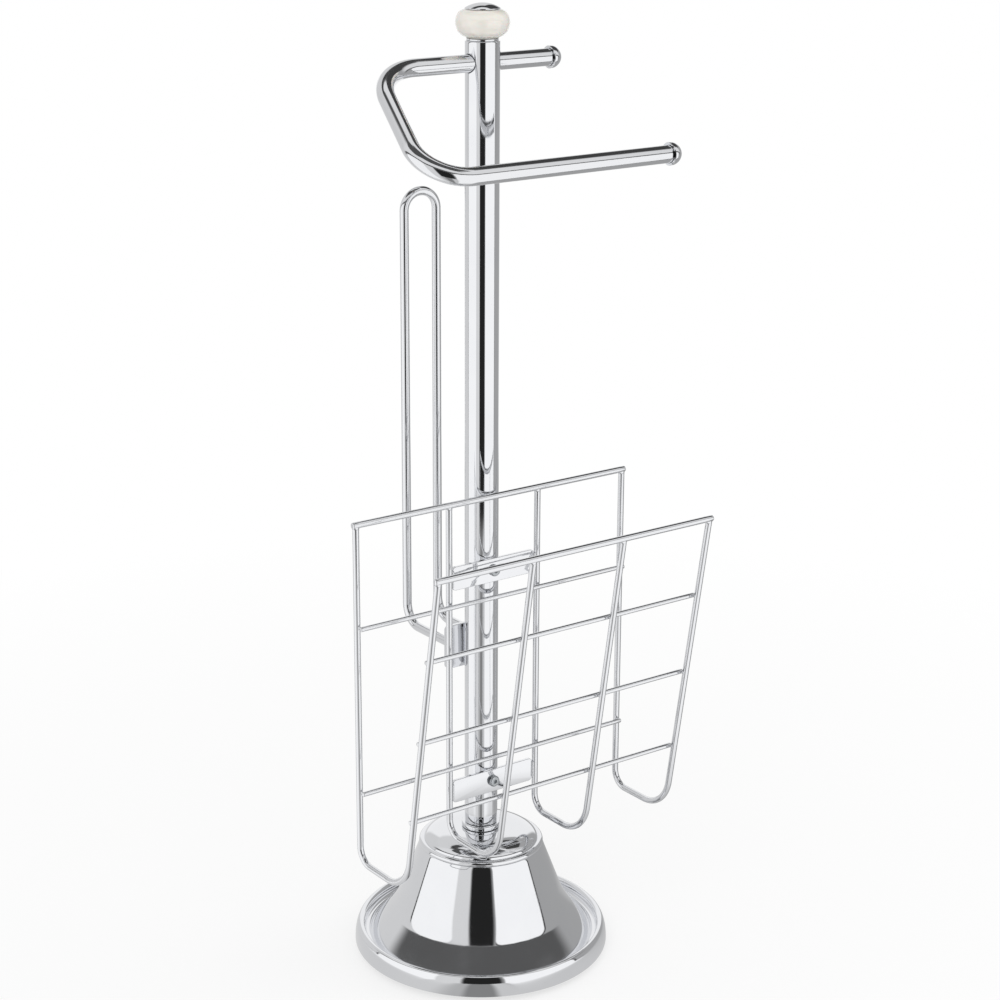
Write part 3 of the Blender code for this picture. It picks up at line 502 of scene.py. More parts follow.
def grained(name, light, dark, metallic, rough, grain_mm, height_mm, strength, cells=False):
    """A finish of two tones with one grain size: tone, roughness and height all follow noise,
    or round cells, whose scale is one over the grain size."""
    made, tree, out = new_material(name)
    place = add(tree, "ShaderNodeTexCoord").outputs["Object"]
    scale = 1 / (grain_mm * MM)
    if cells:
        grain = add(tree, "ShaderNodeTexVoronoi", {"Scale": scale}, {"Vector": place})
        height = grain.outputs["Distance"]
    else:
        grain = add(
            tree, "ShaderNodeTexNoise", {"Scale": scale, "Detail": 5.0}, {"Vector": place}
        )
        height = grain.outputs["Fac"]
    patch = add(
        tree, "ShaderNodeTexNoise", {"Scale": scale / 12, "Detail": 3.0}, {"Vector": place}
    )
    tone = add(
        tree, "ShaderNodeMix", {"data_type": "RGBA", 6: linear(light), 7: linear(dark)},
        {0: patch.outputs["Fac"]},
    )
    soft = add(
        tree, "ShaderNodeMapRange", {"To Min": rough[0], "To Max": rough[1]}, {"Value": height}
    )
    bump = add(
        tree, "ShaderNodeBump", {"Strength": strength, "Distance": height_mm * MM},
        {"Height": height},
    )
    shader = add(
        tree, "ShaderNodeBsdfPrincipled", {"Metallic": metallic},
        {
            "Base Color": tone.outputs[2], "Roughness": soft.outputs["Result"],
            "Normal": bump.outputs["Normal"],
        },
    )
    tree.links.new(shader.outputs["BSDF"], out.inputs["Surface"])
    return made


chrome = polished_chrome()
wire_chrome = drawn_chrome()
glaze = porcelain_glaze()
# Bright zinc plate, passivated: bluish grey metal with a fine satin grain of 0.3 mm
zinc = grained("bright_zinc_plate", "#C3C7CD", "#AEB1B0", 1.0, (0.24, 0.42), 0.3, 0.02, 0.25)
# Grey iron cast in sand, brushed with black paint: sand grains of 0.7 mm under a dull gloss
iron = grained("painted_cast_iron", "#2B2C2F", "#1D1E20", 0.0, (0.45, 0.75), 0.7, 0.25, 0.6)
# Closed-cell foam rubber, skived: round cells of 0.5 mm, matt black
foam = grained(
    "closed_cell_foam", "#232323", "#171717", 0.0, (0.8, 0.95), 0.5, 0.2, 0.8, cells=True
)
# Moulded nylon in its natural white: a satin skin with a mould grain of 0.4 mm
nylon = grained("moulded_nylon", "#E2E2DC", "#D6D6CF", 0.0, (0.38, 0.55), 0.4, 0.02, 0.3)

# Base


def shell_profile():
    """Outer line of the bell, outwards from the bolt hole: a dome and a flare as quadratic
    curves, a round bead, a straight cone and skirt, a round groove, the rim's quarter circle,
    its outer side as a quarter ellipse and the lip's quarter circle."""
    bead = arc((SHOULDER[0] - BEAD_R, SHOULDER[1] + BEAD_R), BEAD_R, 115, -40, 24)
    dome = curved((14.0, DOME_Z), (0.9 * bead[0, 0], DOME_Z), bead[0], 40)
    top_r = BASE_R - RIM_INSET
    middle = top_r - RIM_INNER_R - GROOVE_R
    groove = arc((middle, GROOVE_Z + GROOVE_R), GROOVE_R, 218, 360, 30)
    foot, shoulder = groove[0], np.array(SHOULDER)
    flare = np.array([foot[0] - (FLARE_Z - foot[1]) * math.tan(SKIRT_SLOPE), FLARE_Z])
    upward, downward = shoulder - flare, foot - flare
    cone_end = flare + upward * FLARE_BLEND / np.linalg.norm(upward)
    skirt_start = flare + downward * FLARE_BLEND / np.linalg.norm(downward)
    cone = spaced([shoulder, cone_end], 1.5)
    blend = curved(cone_end, flare, skirt_start, 24)[1:]
    skirt = spaced([skirt_start, foot], 1.5)[1:-1]
    rim_in = arc((top_r, RIM_TOP - RIM_INNER_R), RIM_INNER_R, 180, 90, 20)
    fall = np.radians(np.linspace(0, 90, 29))[1:, None]
    rim_out = np.array([top_r, LIP_Z + LIP_R]) + np.hstack([
        RIM_INSET * np.sin(fall), (RIM_TOP - LIP_Z - LIP_R) * np.cos(fall)
    ])
    lip = arc((BASE_R - LIP_R, LIP_Z + LIP_R), LIP_R, 0, -90, 12)[1:]
    return np.vstack([
        [BOLT_HOLE_R, DOME_Z], dome, bead[1:], cone, blend, skirt, groove, rim_in, rim_out, lip
    ])


def walled(outer, wall):
    """The outer line and, back along it, the line one wall inside, so that both close a loop."""
    step = np.gradient(outer, axis=0)
    step /= np.linalg.norm(step, axis=1)[:, None]
    inner = outer + wall * np.stack([step[:, 1], -step[:, 0]], 1)
    return np.vstack([outer, inner[::-1]])


shell = turned("bell_shell", walled(shell_profile(), SHELL_WALL), 216, smooth_angle=50)
finished(shell, chrome, "stand", "base_shell", slot="chrome")

pad_line = rounded([(0, 3.5), (71.4, 3.5), (71.6, 0), (0, 0)], (0.5, 0.5), turn=15)
finished(
    turned("foam_foot_pad", pad_line, 192, False), foam, "stand", "base_pad", slot="foam_rubber"
)

# Arm

lean = REACH * math.tan(SIDE_LEAN)
arm_line = rounded(
    [
        (STUB_END, 0, 0), (-SIDE_OFFSET, 0, 0),
        (-SIDE_OFFSET - lean, -REACH, 0), (FREE_END, -REACH, 0),
    ],
    (UPPER_BEND, LOWER_BEND), turn=2,
)
arm = swept("arm_rod", arm_place(arm_line), ROD_R, 64, 0.1, step=4)
finished(arm, wire_chrome, "arm", "roll_arm", slot="chrome")


def end_cap(name, x, y, node):
    """A domed cap with a rounded rim over the rod's end, turned and laid along X."""
    outline = [(0, END_CAP_R)] + [tuple(p) for p in arc((0, 0), END_CAP_R, 86, 4, 24)]
    outline += [
        (END_CAP_R, END_CAP_SKIRT + END_CAP_BEVEL), (END_CAP_R - END_CAP_BEVEL, END_CAP_SKIRT),
        (ROD_R + GAP, END_CAP_SKIRT), (ROD_R + GAP, END_CAP_SEAT), (0, END_CAP_SEAT),
    ]
    shift = x + GAP - END_CAP_SEAT

    def place(p):
        """The cap's axis from Z to X, then onto the arm."""
        return arm_place(np.stack([p[:, 2] + shift, p[:, 1] + y, -p[:, 0]], 1))

    finished(turned(name, outline, 96, False, place), chrome, "arm", node, slot="chrome")


end_cap("stub_end_cap", STUB_END, 0, "arm_stub_cap")
end_cap("free_end_cap", FREE_END, -REACH, "arm_free_end_cap")

# Knob


def lifted(points):
    """From heights above the knob's foot to its place on the pole."""
    return points + [0, 0, KNOB_FOOT]


knob_line = rounded(
    [
        (KNOB_NECK_R, KNOB_TOP), (11.9, KNOB_TOP), (15.2, 14.3), (17.45, 8.4), (15.2, 2.3),
        (12.3, 0), (STUD_HOLE_R, 0), (STUD_HOLE_R, KNOB_NECK_FOOT), (KNOB_NECK_R, KNOB_NECK_FOOT),
    ],
    (0.2, 2.2, 5.0, 9.0, 4.5, 1.2, 0.2, 0.2, 0.2), closed=True, turn=4,
)
knob = turned("knob_porcelain", knob_line, 128, place=lifted)
finished(knob, glaze, "knob", "knob_body", slot="ceramic")

dome_r = (CAP_R**2 + CAP_RISE**2) / (2 * CAP_RISE)
rim_angle = math.degrees(math.asin((dome_r - CAP_RISE) / dome_r))
cap_seat, neck_foot = KNOB_TOP + GAP, KNOB_NECK_FOOT + GAP
cap_line = np.vstack([
    [(0, CAP_TOP)], arc((0, CAP_TOP - dome_r), dome_r, 89, rim_angle, 32),
    [
        (CAP_R + 0.05, cap_seat + 0.45), (CAP_R, cap_seat + 0.15), (CAP_R - 0.2, cap_seat),
        (CAP_NECK_R, cap_seat), (CAP_NECK_R, neck_foot), (STUD_HOLE_R, neck_foot),
        (STUD_HOLE_R, cap_seat), (0, cap_seat),
    ],
])
cap_nut = turned("knob_cap_nut", cap_line, 128, False, lifted)
finished(cap_nut, chrome, "knob", "knob_cap", slot="chrome")

washer_line = rounded(
    [
        (STUD_HOLE_R, WASHER_TOP), (WASHER_R, WASHER_TOP), (WASHER_R, WASHER_FOOT),
        (STUD_HOLE_R, WASHER_FOOT),
    ],
    (0.1, 0.15, 0.15, 0.1), closed=True, turn=30,
)
washer = turned("knob_slip_washer", washer_line, 96, place=lifted)
finished(washer, nylon, "knob", "knob_washer", slot="nylon")

# Pole


def bored_tube():
    """The pole as a wall between two radii, with the rod's bore through it along X. Its outer
    and inner faces are one sheet of (angle, height), laid on each radius. Round each bore the
    sheet runs in rings from a square of grid points to the bore's circle, and its ends are
    eased over."""
    cols, half, rise, ease = 128, 14, 9.0, 0.4
    angles = np.arange(cols) / cols * TURN
    heights = np.unique(np.round(np.concatenate([
        np.linspace(POLE_FOOT + ease, ARM_Z - rise, 60),
        np.linspace(ARM_Z - rise, ARM_Z + rise, 19),
        np.linspace(ARM_Z + rise, POLE_TOP - ease, 5),
    ]), 4))
    low, high = (int(np.argmin(abs(heights - z))) for z in (ARM_Z - rise, ARM_Z + rise))
    rows, bore, lip = len(heights), ROD_R + GAP, 0.35
    quads = grid_faces(rows, cols, False, True)
    row, col = np.divmod(np.arange(len(quads)), cols)
    near = np.minimum((col + half) % cols, (col + half + cols // 2) % cols)
    quads = quads[~((near < 2 * half) & (row >= low) & (row < high))]

    def edge(side):
        """Grid indices round the square about one bore, anticlockwise seen from outside."""
        middle = side * cols // 2
        up, across = np.arange(low, high), np.arange(-half, half)
        corners = [
            (np.full(2 * half, low), across), (up, np.full(len(up), half)),
            (np.full(2 * half, high), -across), (up[::-1] + 1, np.full(len(up), -half)),
        ]
        return np.concatenate([r * cols + (c + middle) % cols for r, c in corners])

    shares = np.linspace(1, 0, 9)[1:]
    lip_turns = np.radians([30, 60, 90])

    def face(radius, inward):
        """Points of the sheet on one radius: the grid, then each bore's rings and rounded lip."""
        x, y = radius * np.cos(angles), radius * np.sin(angles)
        grid = np.stack(np.broadcast_arrays(x, y, heights[:, None]), -1).reshape(-1, 3)
        blocks = [grid]
        for side in (0, 1):
            ring = grid[edge(side)]
            flat = np.stack([ring[:, 1], ring[:, 2] - ARM_Z], 1)
            away = flat / np.linalg.norm(flat, axis=1)[:, None]
            start = away * (bore + lip)
            rings = [(start + share * (flat - start), 0.0) for share in shares]
            rings += [
                (away * (bore + lip * (1 - math.sin(t))), inward * lip * (1 - math.cos(t)))
                for t in lip_turns
            ]
            for at, sink in rings:
                out = (1 - 2 * side) * (np.sqrt(radius**2 - at[:, 0] ** 2) - sink)
                blocks.append(np.stack([out, at[:, 0], at[:, 1] + ARM_Z], 1))
        return np.vstack(blocks)

    loop, count = len(edge(0)), len(shares) + len(lip_turns)
    outer, inner = face(POLE_R, 1), face(POLE_R - POLE_WALL, -1)
    size = len(outer)
    points, faces = [outer, inner], [quads, quads[:, ::-1] + size]
    for side in (0, 1):
        first = rows * cols + side * count * loop
        chain = np.vstack([edge(side), first + np.arange(count * loop).reshape(count, loop)])
        after = np.roll(chain, -1, 1)
        rings = np.stack([chain[:-1], after[:-1], after[1:], chain[1:]], -1).reshape(-1, 4)
        faces += [rings, rings[:, ::-1] + size]
        last, next_last = chain[-1], after[-1]
        faces.append(np.stack([last, next_last, next_last + size, last + size], -1))
    total, a = 2 * size, np.arange(cols)
    rim_steps = ((POLE_R - 0.12, 0.28), (POLE_R - ease, ease), (POLE_R - POLE_WALL + 0.2, ease))
    for end_row, z, sign in ((0, POLE_FOOT, -1), (rows - 1, POLE_TOP, 1)):
        for radius, level in rim_steps:
            height = np.full(cols, z + sign * (level - ease))
            points.append(np.stack([radius * np.cos(angles), radius * np.sin(angles), height], 1))
        chain = [end_row * cols + a] + [total + k * cols + a for k in range(3)]
        chain.append(size + end_row * cols + a)
        total += 3 * cols
        for one, two in zip(chain[:-1], chain[1:]):
            quad = np.stack([one, two, np.roll(two, -1), np.roll(one, -1)], -1)
            faces.append(quad if sign < 0 else quad[:, ::-1])
    return put_mesh("pole_tube_bored", np.vstack(points), faces)


finished(bored_tube(), chrome, "stand", "pole_tube", slot="chrome")

foot_line = rounded(
    [
        (BOLT_HOLE_R, DOME_Z + GAP), (FOOT_FLANGE_R, DOME_Z + GAP),
        (FOOT_FLANGE_R, POLE_FOOT - GAP), (PLUG_R, POLE_FOOT - GAP), (PLUG_R, FOOT_PLUG_TOP),
        (BOLT_HOLE_R, FOOT_PLUG_TOP),
    ],
    (0.2, 0.4, 0.9, 0.1, 0.6, 0.2), closed=True, turn=15,
)
finished(
    turned("pole_foot_ferrule", foot_line, 128), chrome, "stand", "pole_foot_plug", slot="chrome"
)

top_line = rounded(
    [
        (STUD_HOLE_R, TOP_PLUG_FOOT), (PLUG_R, TOP_PLUG_FOOT), (PLUG_R, POLE_TOP + GAP),
        (TOP_FLANGE_R, POLE_TOP + GAP), (TOP_FLANGE_R, TOP_FLANGE_Z), (STUD_HOLE_R, TOP_FLANGE_Z),
    ],
    (0.2, 0.6, 0.1, 0.2, 0.4, 0.2), closed=True, turn=15,
)
rod_cutter = turned(
    "rod_cutter", [(0, -20), (ROD_R + GAP, -20), (ROD_R + GAP, 20), (0, 20)], 96, False,
    lambda p: np.stack([p[:, 2], p[:, 1], ARM_Z - p[:, 0]], 1),
)
top_plug = bored(turned("pole_top_ferrule", top_line, 128), rod_cutter)
finished(top_plug, chrome, "stand", "pole_top_plug", slot="chrome")

# Rack


def front_place(height, inward=0.0):
    """(y, z) on the leaning front at a height, moved into the rack along its normal."""
    y = -FRONT_REACH + (FRONT_Z - height) * math.tan(FRONT_LEAN)
    return y + inward * math.cos(FRONT_LEAN), height + inward * math.sin(FRONT_LEAN)


wire_end = WIRE_R + GAP
half_width = PITCH * 1.5
wire_xs = [i * PITCH - half_width for i in range(4)]
for i, x in enumerate(wire_xs):
    line = rounded(
        [
            (x, *front_place(FRONT_Z - wire_end * math.cos(FRONT_LEAN))),
            (x, front_place(RACK_FLOOR)[0], RACK_FLOOR),
            (x, BACK_Y, RACK_FLOOR),
            (x, BACK_Y, BACK_Z - wire_end),
        ],
        (FRONT_BEND, BACK_BEND), turn=3,
    )
    wire = swept(f"rack_upright_{i + 1}", line, WIRE_R, 32, 0.1)
    finished(wire, wire_chrome, "stand", f"rack_wire_{i + 1}", slot="chrome")

bar_inward = WIRE_R + BAR_R + GAP
bar_heights = [FRONT_Z - (i + 1) * BAR_PITCH for i in range(3)]
back_bar_heights = bar_heights[::2]
rail_half, bar_half = half_width + OVERHANG, half_width + GAP
cross_wires = {
    "front_rail": (-FRONT_REACH, FRONT_Z, rail_half, WIRE_R),
    "back_rail": (BACK_Y, BACK_Z, rail_half, WIRE_R),
}
for i, height in enumerate(bar_heights):
    cross_wires[f"front_bar_{i + 1}"] = (*front_place(height, bar_inward), bar_half, BAR_R)
for i, height in enumerate(back_bar_heights):
    cross_wires[f"back_bar_{i + 1}"] = (BACK_Y - bar_inward, height, bar_half, BAR_R)
for name, (y, z, half, radius) in cross_wires.items():
    rod = swept("drawn_" + name, [(-half, y, z), (half, y, z)], radius, 32, 0.4)
    finished(rod, wire_chrome, "stand", "rack_" + name, slot="chrome")


def lump(low_ring, high_ring, low_tip, high_tip, hollow, rows=7):
    """A small body between two rings of points: straight lines from ring to ring, drawn in
    towards the middle by hollow x 4 t (1 - t), and closed over a tip at each end."""
    t = np.linspace(0, 1, rows)[:, None, None]
    sheet = low_ring + t * (high_ring - low_ring)
    centre = (low_ring.mean(0) + high_ring.mean(0)) / 2
    away = sheet - centre
    away[..., 2] = 0
    away /= np.linalg.norm(away, axis=-1, keepdims=True)
    sheet = sheet - away * hollow * 4 * t * (1 - t)
    cols = len(low_ring)
    points = np.vstack([sheet.reshape(-1, 3), [low_tip], [high_tip]])
    last = rows * cols
    sides = [grid_faces(rows, cols, False, True)]
    return points, sides, fans(0, last - cols, cols, last, last + 1)


def crossing_weld(outer_side):
    """The fillet where a bar lies across an upright: rings at one reach on the upright's round,
    w = sqrt(R^2 - u^2) - R, and on the bar's round. Past a bar's end the ring stays short."""
    a = np.linspace(0, TURN, 24, endpoint=False)
    u, v = CROSS_REACH * np.cos(a), CROSS_REACH * np.sin(a)
    if outer_side:
        u = np.where(u * outer_side > 0, u * 0.3, u)
    low = np.sqrt(WIRE_R**2 - u**2) - WIRE_R - CROSS_SINK
    high = BAR_R - np.sqrt(BAR_R**2 - v**2) + CROSS_SINK
    return lump(
        np.stack([u, v, low], 1), np.stack([u, v, high], 1),
        (0, 0, -CROSS_TIP), (0, 0, CROSS_TIP), CROSS_HOLLOW,
    )


def butt_weld():
    """The collar where an upright ends under a rail: a circle round the upright, opening to an
    oval that lies on the rail's round, w = -sqrt(R^2 - v^2)."""
    a = np.linspace(0, TURN, 28, endpoint=False)
    low = np.stack([COLLAR_R * np.cos(a), COLLAR_R * np.sin(a), np.full(28, COLLAR_FOOT)], 1)
    u, v = COLLAR_LONG * np.cos(a), COLLAR_WIDE * np.sin(a)
    high = np.stack([u, v, 0.1 - np.sqrt(WIRE_R**2 - v**2)], 1)
    return lump(low, high, (0, 0, COLLAR_FOOT), (0, 0, -1.6), COLLAR_HOLLOW)


rack_welds = []


def put_weld(shape, origin, along, out):
    """Adds one weld to the rack's, carried from its own axes, of which the first is X."""
    points, sides, tips = shape
    axes = np.array([(1, 0, 0), along, out], float)
    rack_welds.append((np.asarray(origin) + points @ axes, sides + tips))


up_front = (0, -math.sin(FRONT_LEAN), math.cos(FRONT_LEAN))
into_front = (0, math.cos(FRONT_LEAN), math.sin(FRONT_LEAN))
contact = WIRE_R + GAP / 2
for i, x in enumerate(wire_xs):
    outer_side = {0: -1, 3: 1}.get(i, 0)
    for height in bar_heights:
        origin = (x, *front_place(height, contact))
        put_weld(crossing_weld(outer_side), origin, up_front, into_front)
    for height in back_bar_heights:
        put_weld(crossing_weld(outer_side), (x, BACK_Y - contact, height), (0, 0, 1), (0, -1, 0))
    put_weld(butt_weld(), (x, -FRONT_REACH, FRONT_Z), into_front, up_front)
    put_weld(butt_weld(), (x, BACK_Y, BACK_Z), (0, 1, 0), (0, 0, 1))
firsts = np.cumsum([0] + [len(points) for points, _ in rack_welds])
weld_faces = [
    block + first for (_, blocks), first in zip(rack_welds, firsts) for block in blocks
]
welds = put_mesh(
    "rack_weld_fillets", np.vstack([points for points, _ in rack_welds]), weld_faces,
    smooth_angle=60,
)
finished(welds, chrome, "stand", slot="chrome")

# Rack brackets, with a run of weld on both sides of each end

bracket_half = PITCH / 2 - WIRE_R - GAP
bracket_y = -(POLE_R + GAP + BRACKET_DEPTH / 2)
cutter_line = [(0, -5), (SCREW_HOLE_R, -5), (SCREW_HOLE_R, 5), (0, 5)]
for level, z in zip(("upper", "lower"), BRACKET_ZS):
    def bracket_place(p, z=z):
        """From the strip's flat to its place in front of the pole."""
        return np.stack([p[:, 0], bracket_y - p[:, 2], z + p[:, 1]], 1)

    strip = plate(
        f"rack_bracket_strip_{level}", bracket_half, BRACKET_HEIGHT / 2, BRACKET_DEPTH,
        PLATE_CORNER, PLATE_EASE, bracket_place,
    )
    bore = turned("screw_cutter", cutter_line, 48, False, bracket_place)
    finished(bored(strip, bore), chrome, "stand", f"rack_bracket_{level}", slot="chrome")
    for side, x in (("left", -1), ("right", 1)):
        for face, run_x, run_y in RUN_PLACES:
            run = swept(
                f"bracket_weld_{level}_{side}_{face}",
                [(x * run_x, run_y, z - RUN_HALF), (x * run_x, run_y, z + RUN_HALF)],
                RUN_R, 20, 0.8, RUN_STEP, ripple=RUN_RIPPLE,
            )
            finished(run, chrome, "stand", slot="chrome")

# Spare roll loop

plate_seat = POLE_R + GAP + LOOP_PLATE_DEPTH
run_end = plate_seat + GAP
arch = LOOP_TOP - LOOP_R
loop_line = rounded(
    [
        (LOOP_X, run_end, LOOP_RUN), (LOOP_X, LOOP_Y, LOOP_RUN), (LOOP_X, LOOP_Y, arch),
        (-LOOP_X, LOOP_Y, arch), (-LOOP_X, LOOP_Y, LOOP_RUN), (-LOOP_X, run_end, LOOP_RUN),
    ],
    (LOOP_BEND, LOOP_X - GAP, LOOP_X - GAP, LOOP_BEND), turn=3,
)
loop = swept("loop_wire", loop_line, LOOP_R, 40, 0.1, step=5)
finished(loop, wire_chrome, "stand", "spare_roll_loop", slot="chrome")


def loop_plate_place(p):
    """From the plate's flat to its place behind the pole."""
    return np.stack([-p[:, 0], plate_seat - LOOP_PLATE_DEPTH / 2 + p[:, 2], LOOP_RUN + p[:, 1]], 1)


loop_plate = plate(
    "loop_seat_plate", *LOOP_PLATE, LOOP_PLATE_DEPTH, PLATE_CORNER, PLATE_EASE, loop_plate_place
)
bores = [
    turned(
        f"loop_cutter_{i}", cutter_line, 48, False,
        lambda p, rise=rise: loop_plate_place(p + [0, rise, 0]),
    )
    for i, rise in enumerate((-LOOP_SCREW_Z, LOOP_SCREW_Z))
]
finished(bored(loop_plate, *bores), chrome, "stand", "loop_bracket", slot="chrome")

# Outline of the weld round each end of the loop: a hollow fillet from the plate to the wire
collar = np.vstack([[(2.5, -0.1), (4.4, -0.1)], arc((4.7, 1.9), 1.72, 262, 178, 8), [(2.5, 1.96)]])
for side, x in (("left", -LOOP_X), ("right", LOOP_X)):
    ring = turned(
        f"loop_weld_{side}", collar, 64,
        place=lambda p, x=x: np.stack([x - p[:, 0], plate_seat + p[:, 2], LOOP_RUN + p[:, 1]], 1),
    )
    finished(ring, chrome, "stand", slot="chrome")

# Bracket screws


def button_screw(name, shank_end, place, node):
    """A button-head socket screw: a domed head over a round shank, with a hexagonal socket."""
    dome = (HEAD_R - HEAD_DOME_R, HEAD_TOP - HEAD_DOME_R)
    line = [
        (0, SOCKET_FOOT - 0.15), (SOCKET_R, SOCKET_FOOT), (SOCKET_R, HEAD_TOP - 0.15),
        (SOCKET_R + 0.15, HEAD_TOP),
    ]
    line += [tuple(p) for p in arc(dome, HEAD_DOME_R, 90, 0, 10)]
    line += [(HEAD_R, GAP + 0.2), (HEAD_R - 0.2, GAP), (SHANK_R, GAP)]
    line += [(SHANK_R, shank_end + 0.4), (SHANK_POINT_R, shank_end)]
    hexed = [1, 1, 1] + [0] * (len(line) - 4)
    line.append((0, shank_end))
    screw = turned(name, line, 96, False, place, 35, hexed)
    finished(screw, zinc, "stand", node, slot="zinc_steel")


bracket_seat = bracket_y - BRACKET_DEPTH / 2
for level, z in zip(("upper", "lower"), BRACKET_ZS):
    button_screw(
        f"rack_button_screw_{level}", RACK_SHANK,
        lambda p, z=z: np.stack([p[:, 0], bracket_seat - p[:, 2], z + p[:, 1]], 1),
        f"rack_screw_{level}",
    )
for i, z in enumerate((LOOP_RUN + LOOP_SCREW_Z, LOOP_RUN - LOOP_SCREW_Z)):
    button_screw(
        f"loop_button_screw_{i + 1}", LOOP_SHANK,
        lambda p, z=z: np.stack([-p[:, 0], plate_seat + p[:, 2], z + p[:, 1]], 1),
        f"loop_screw_{i + 1}",
    )

# Finishes of the pieces inside, which keep their solids

inside = {
    "base_ballast": iron, "tie_bolt": zinc, "tie_washer": zinc, "knob_stud": zinc,
    "rack_screw_upper_insert": zinc, "rack_screw_lower_insert": zinc,
    "loop_screw_1_insert": zinc, "loop_screw_2_insert": zinc,
}
for node, material in inside.items():
    obj = frame["nodes"][node]
    obj.data.materials.clear()
    obj.data.materials.append(material)

# Studio


def smooth(value, low, high):
    """0 below low, 1 above high and 3 t^2 - 2 t^3 between them."""
    t = np.clip((value - low) / (high - low), 0, 1)
    return t * t * (3 - 2 * t)


def band(value, low, high, soft):
    """1 between low and high, falling smoothly to 0 over soft at both of them."""
    return smooth(value, low - soft / 2, low + soft / 2) * (
        1 - smooth(value, high - soft / 2, high + soft / 2)
    )


def white_seen_directly(tree):
    """1 for rays from the camera, from a mirror or through glass, and 0 for diffuse light."""
    ray = add(tree, "ShaderNodeLightPath")
    seen = add(
        tree, "ShaderNodeMath", {"operation": "MAXIMUM"},
        {0: ray.outputs["Is Camera Ray"], 1: ray.outputs["Is Glossy Ray"]},
    )
    return add(
        tree, "ShaderNodeMath", {"operation": "MAXIMUM"},
        {0: seen.outputs[0], 1: ray.outputs["Is Transmission Ray"]},
    ).outputs[0]


def floor():
    """A wide sheet of matt white card. Seen directly it is part lit card, which holds the
    holder's shadow, and part plain white, and it turns all white about a metre out."""
    made, tree, out = new_material("matt_white_card")
    lit = add(tree, "ShaderNodeBsdfDiffuse", {"Color": linear("#F7F7F7")})
    white = add(tree, "ShaderNodeEmission", {"Color": linear("#FFFFFF"), "Strength": 1.0})
    place = add(tree, "ShaderNodeTexCoord").outputs["Object"]
    distance = add(tree, "ShaderNodeVectorMath", {"operation": "LENGTH"}, {0: place})
    share = add(
        tree, "ShaderNodeMapRange",
        {"From Min": 0.15, "From Max": 0.9, "To Min": 0.7, "To Max": 1.0},
        {"Value": distance.outputs["Value"]},
    )
    share = add(
        tree, "ShaderNodeMath", {"operation": "MULTIPLY"},
        {0: share.outputs["Result"], 1: white_seen_directly(tree)},
    )
    mix = add(
        tree, "ShaderNodeMixShader", None,
        {0: share.outputs[0], 1: lit.outputs["BSDF"], 2: white.outputs["Emission"]},
    )
    tree.links.new(mix.outputs[0], out.inputs["Surface"])
    r = np.array([0.001, 0.3, 1.5, 6.0, 30.0])[:, None] / MM
    a = np.linspace(0, TURN, 96, endpoint=False)
    points = np.stack([r * np.cos(a), r * np.sin(a), 0 * r + 0 * a], -1).reshape(-1, 3)
    obj = put_mesh("floor", points, [grid_faces(5, 96, False, True)[:, ::-1]])
    obj.data.materials.append(made)


def laid(level, value, where):
    """A card laid over the room: level + (value - level) x where, with where from 0 to 1."""
    return level + (value - level) * where


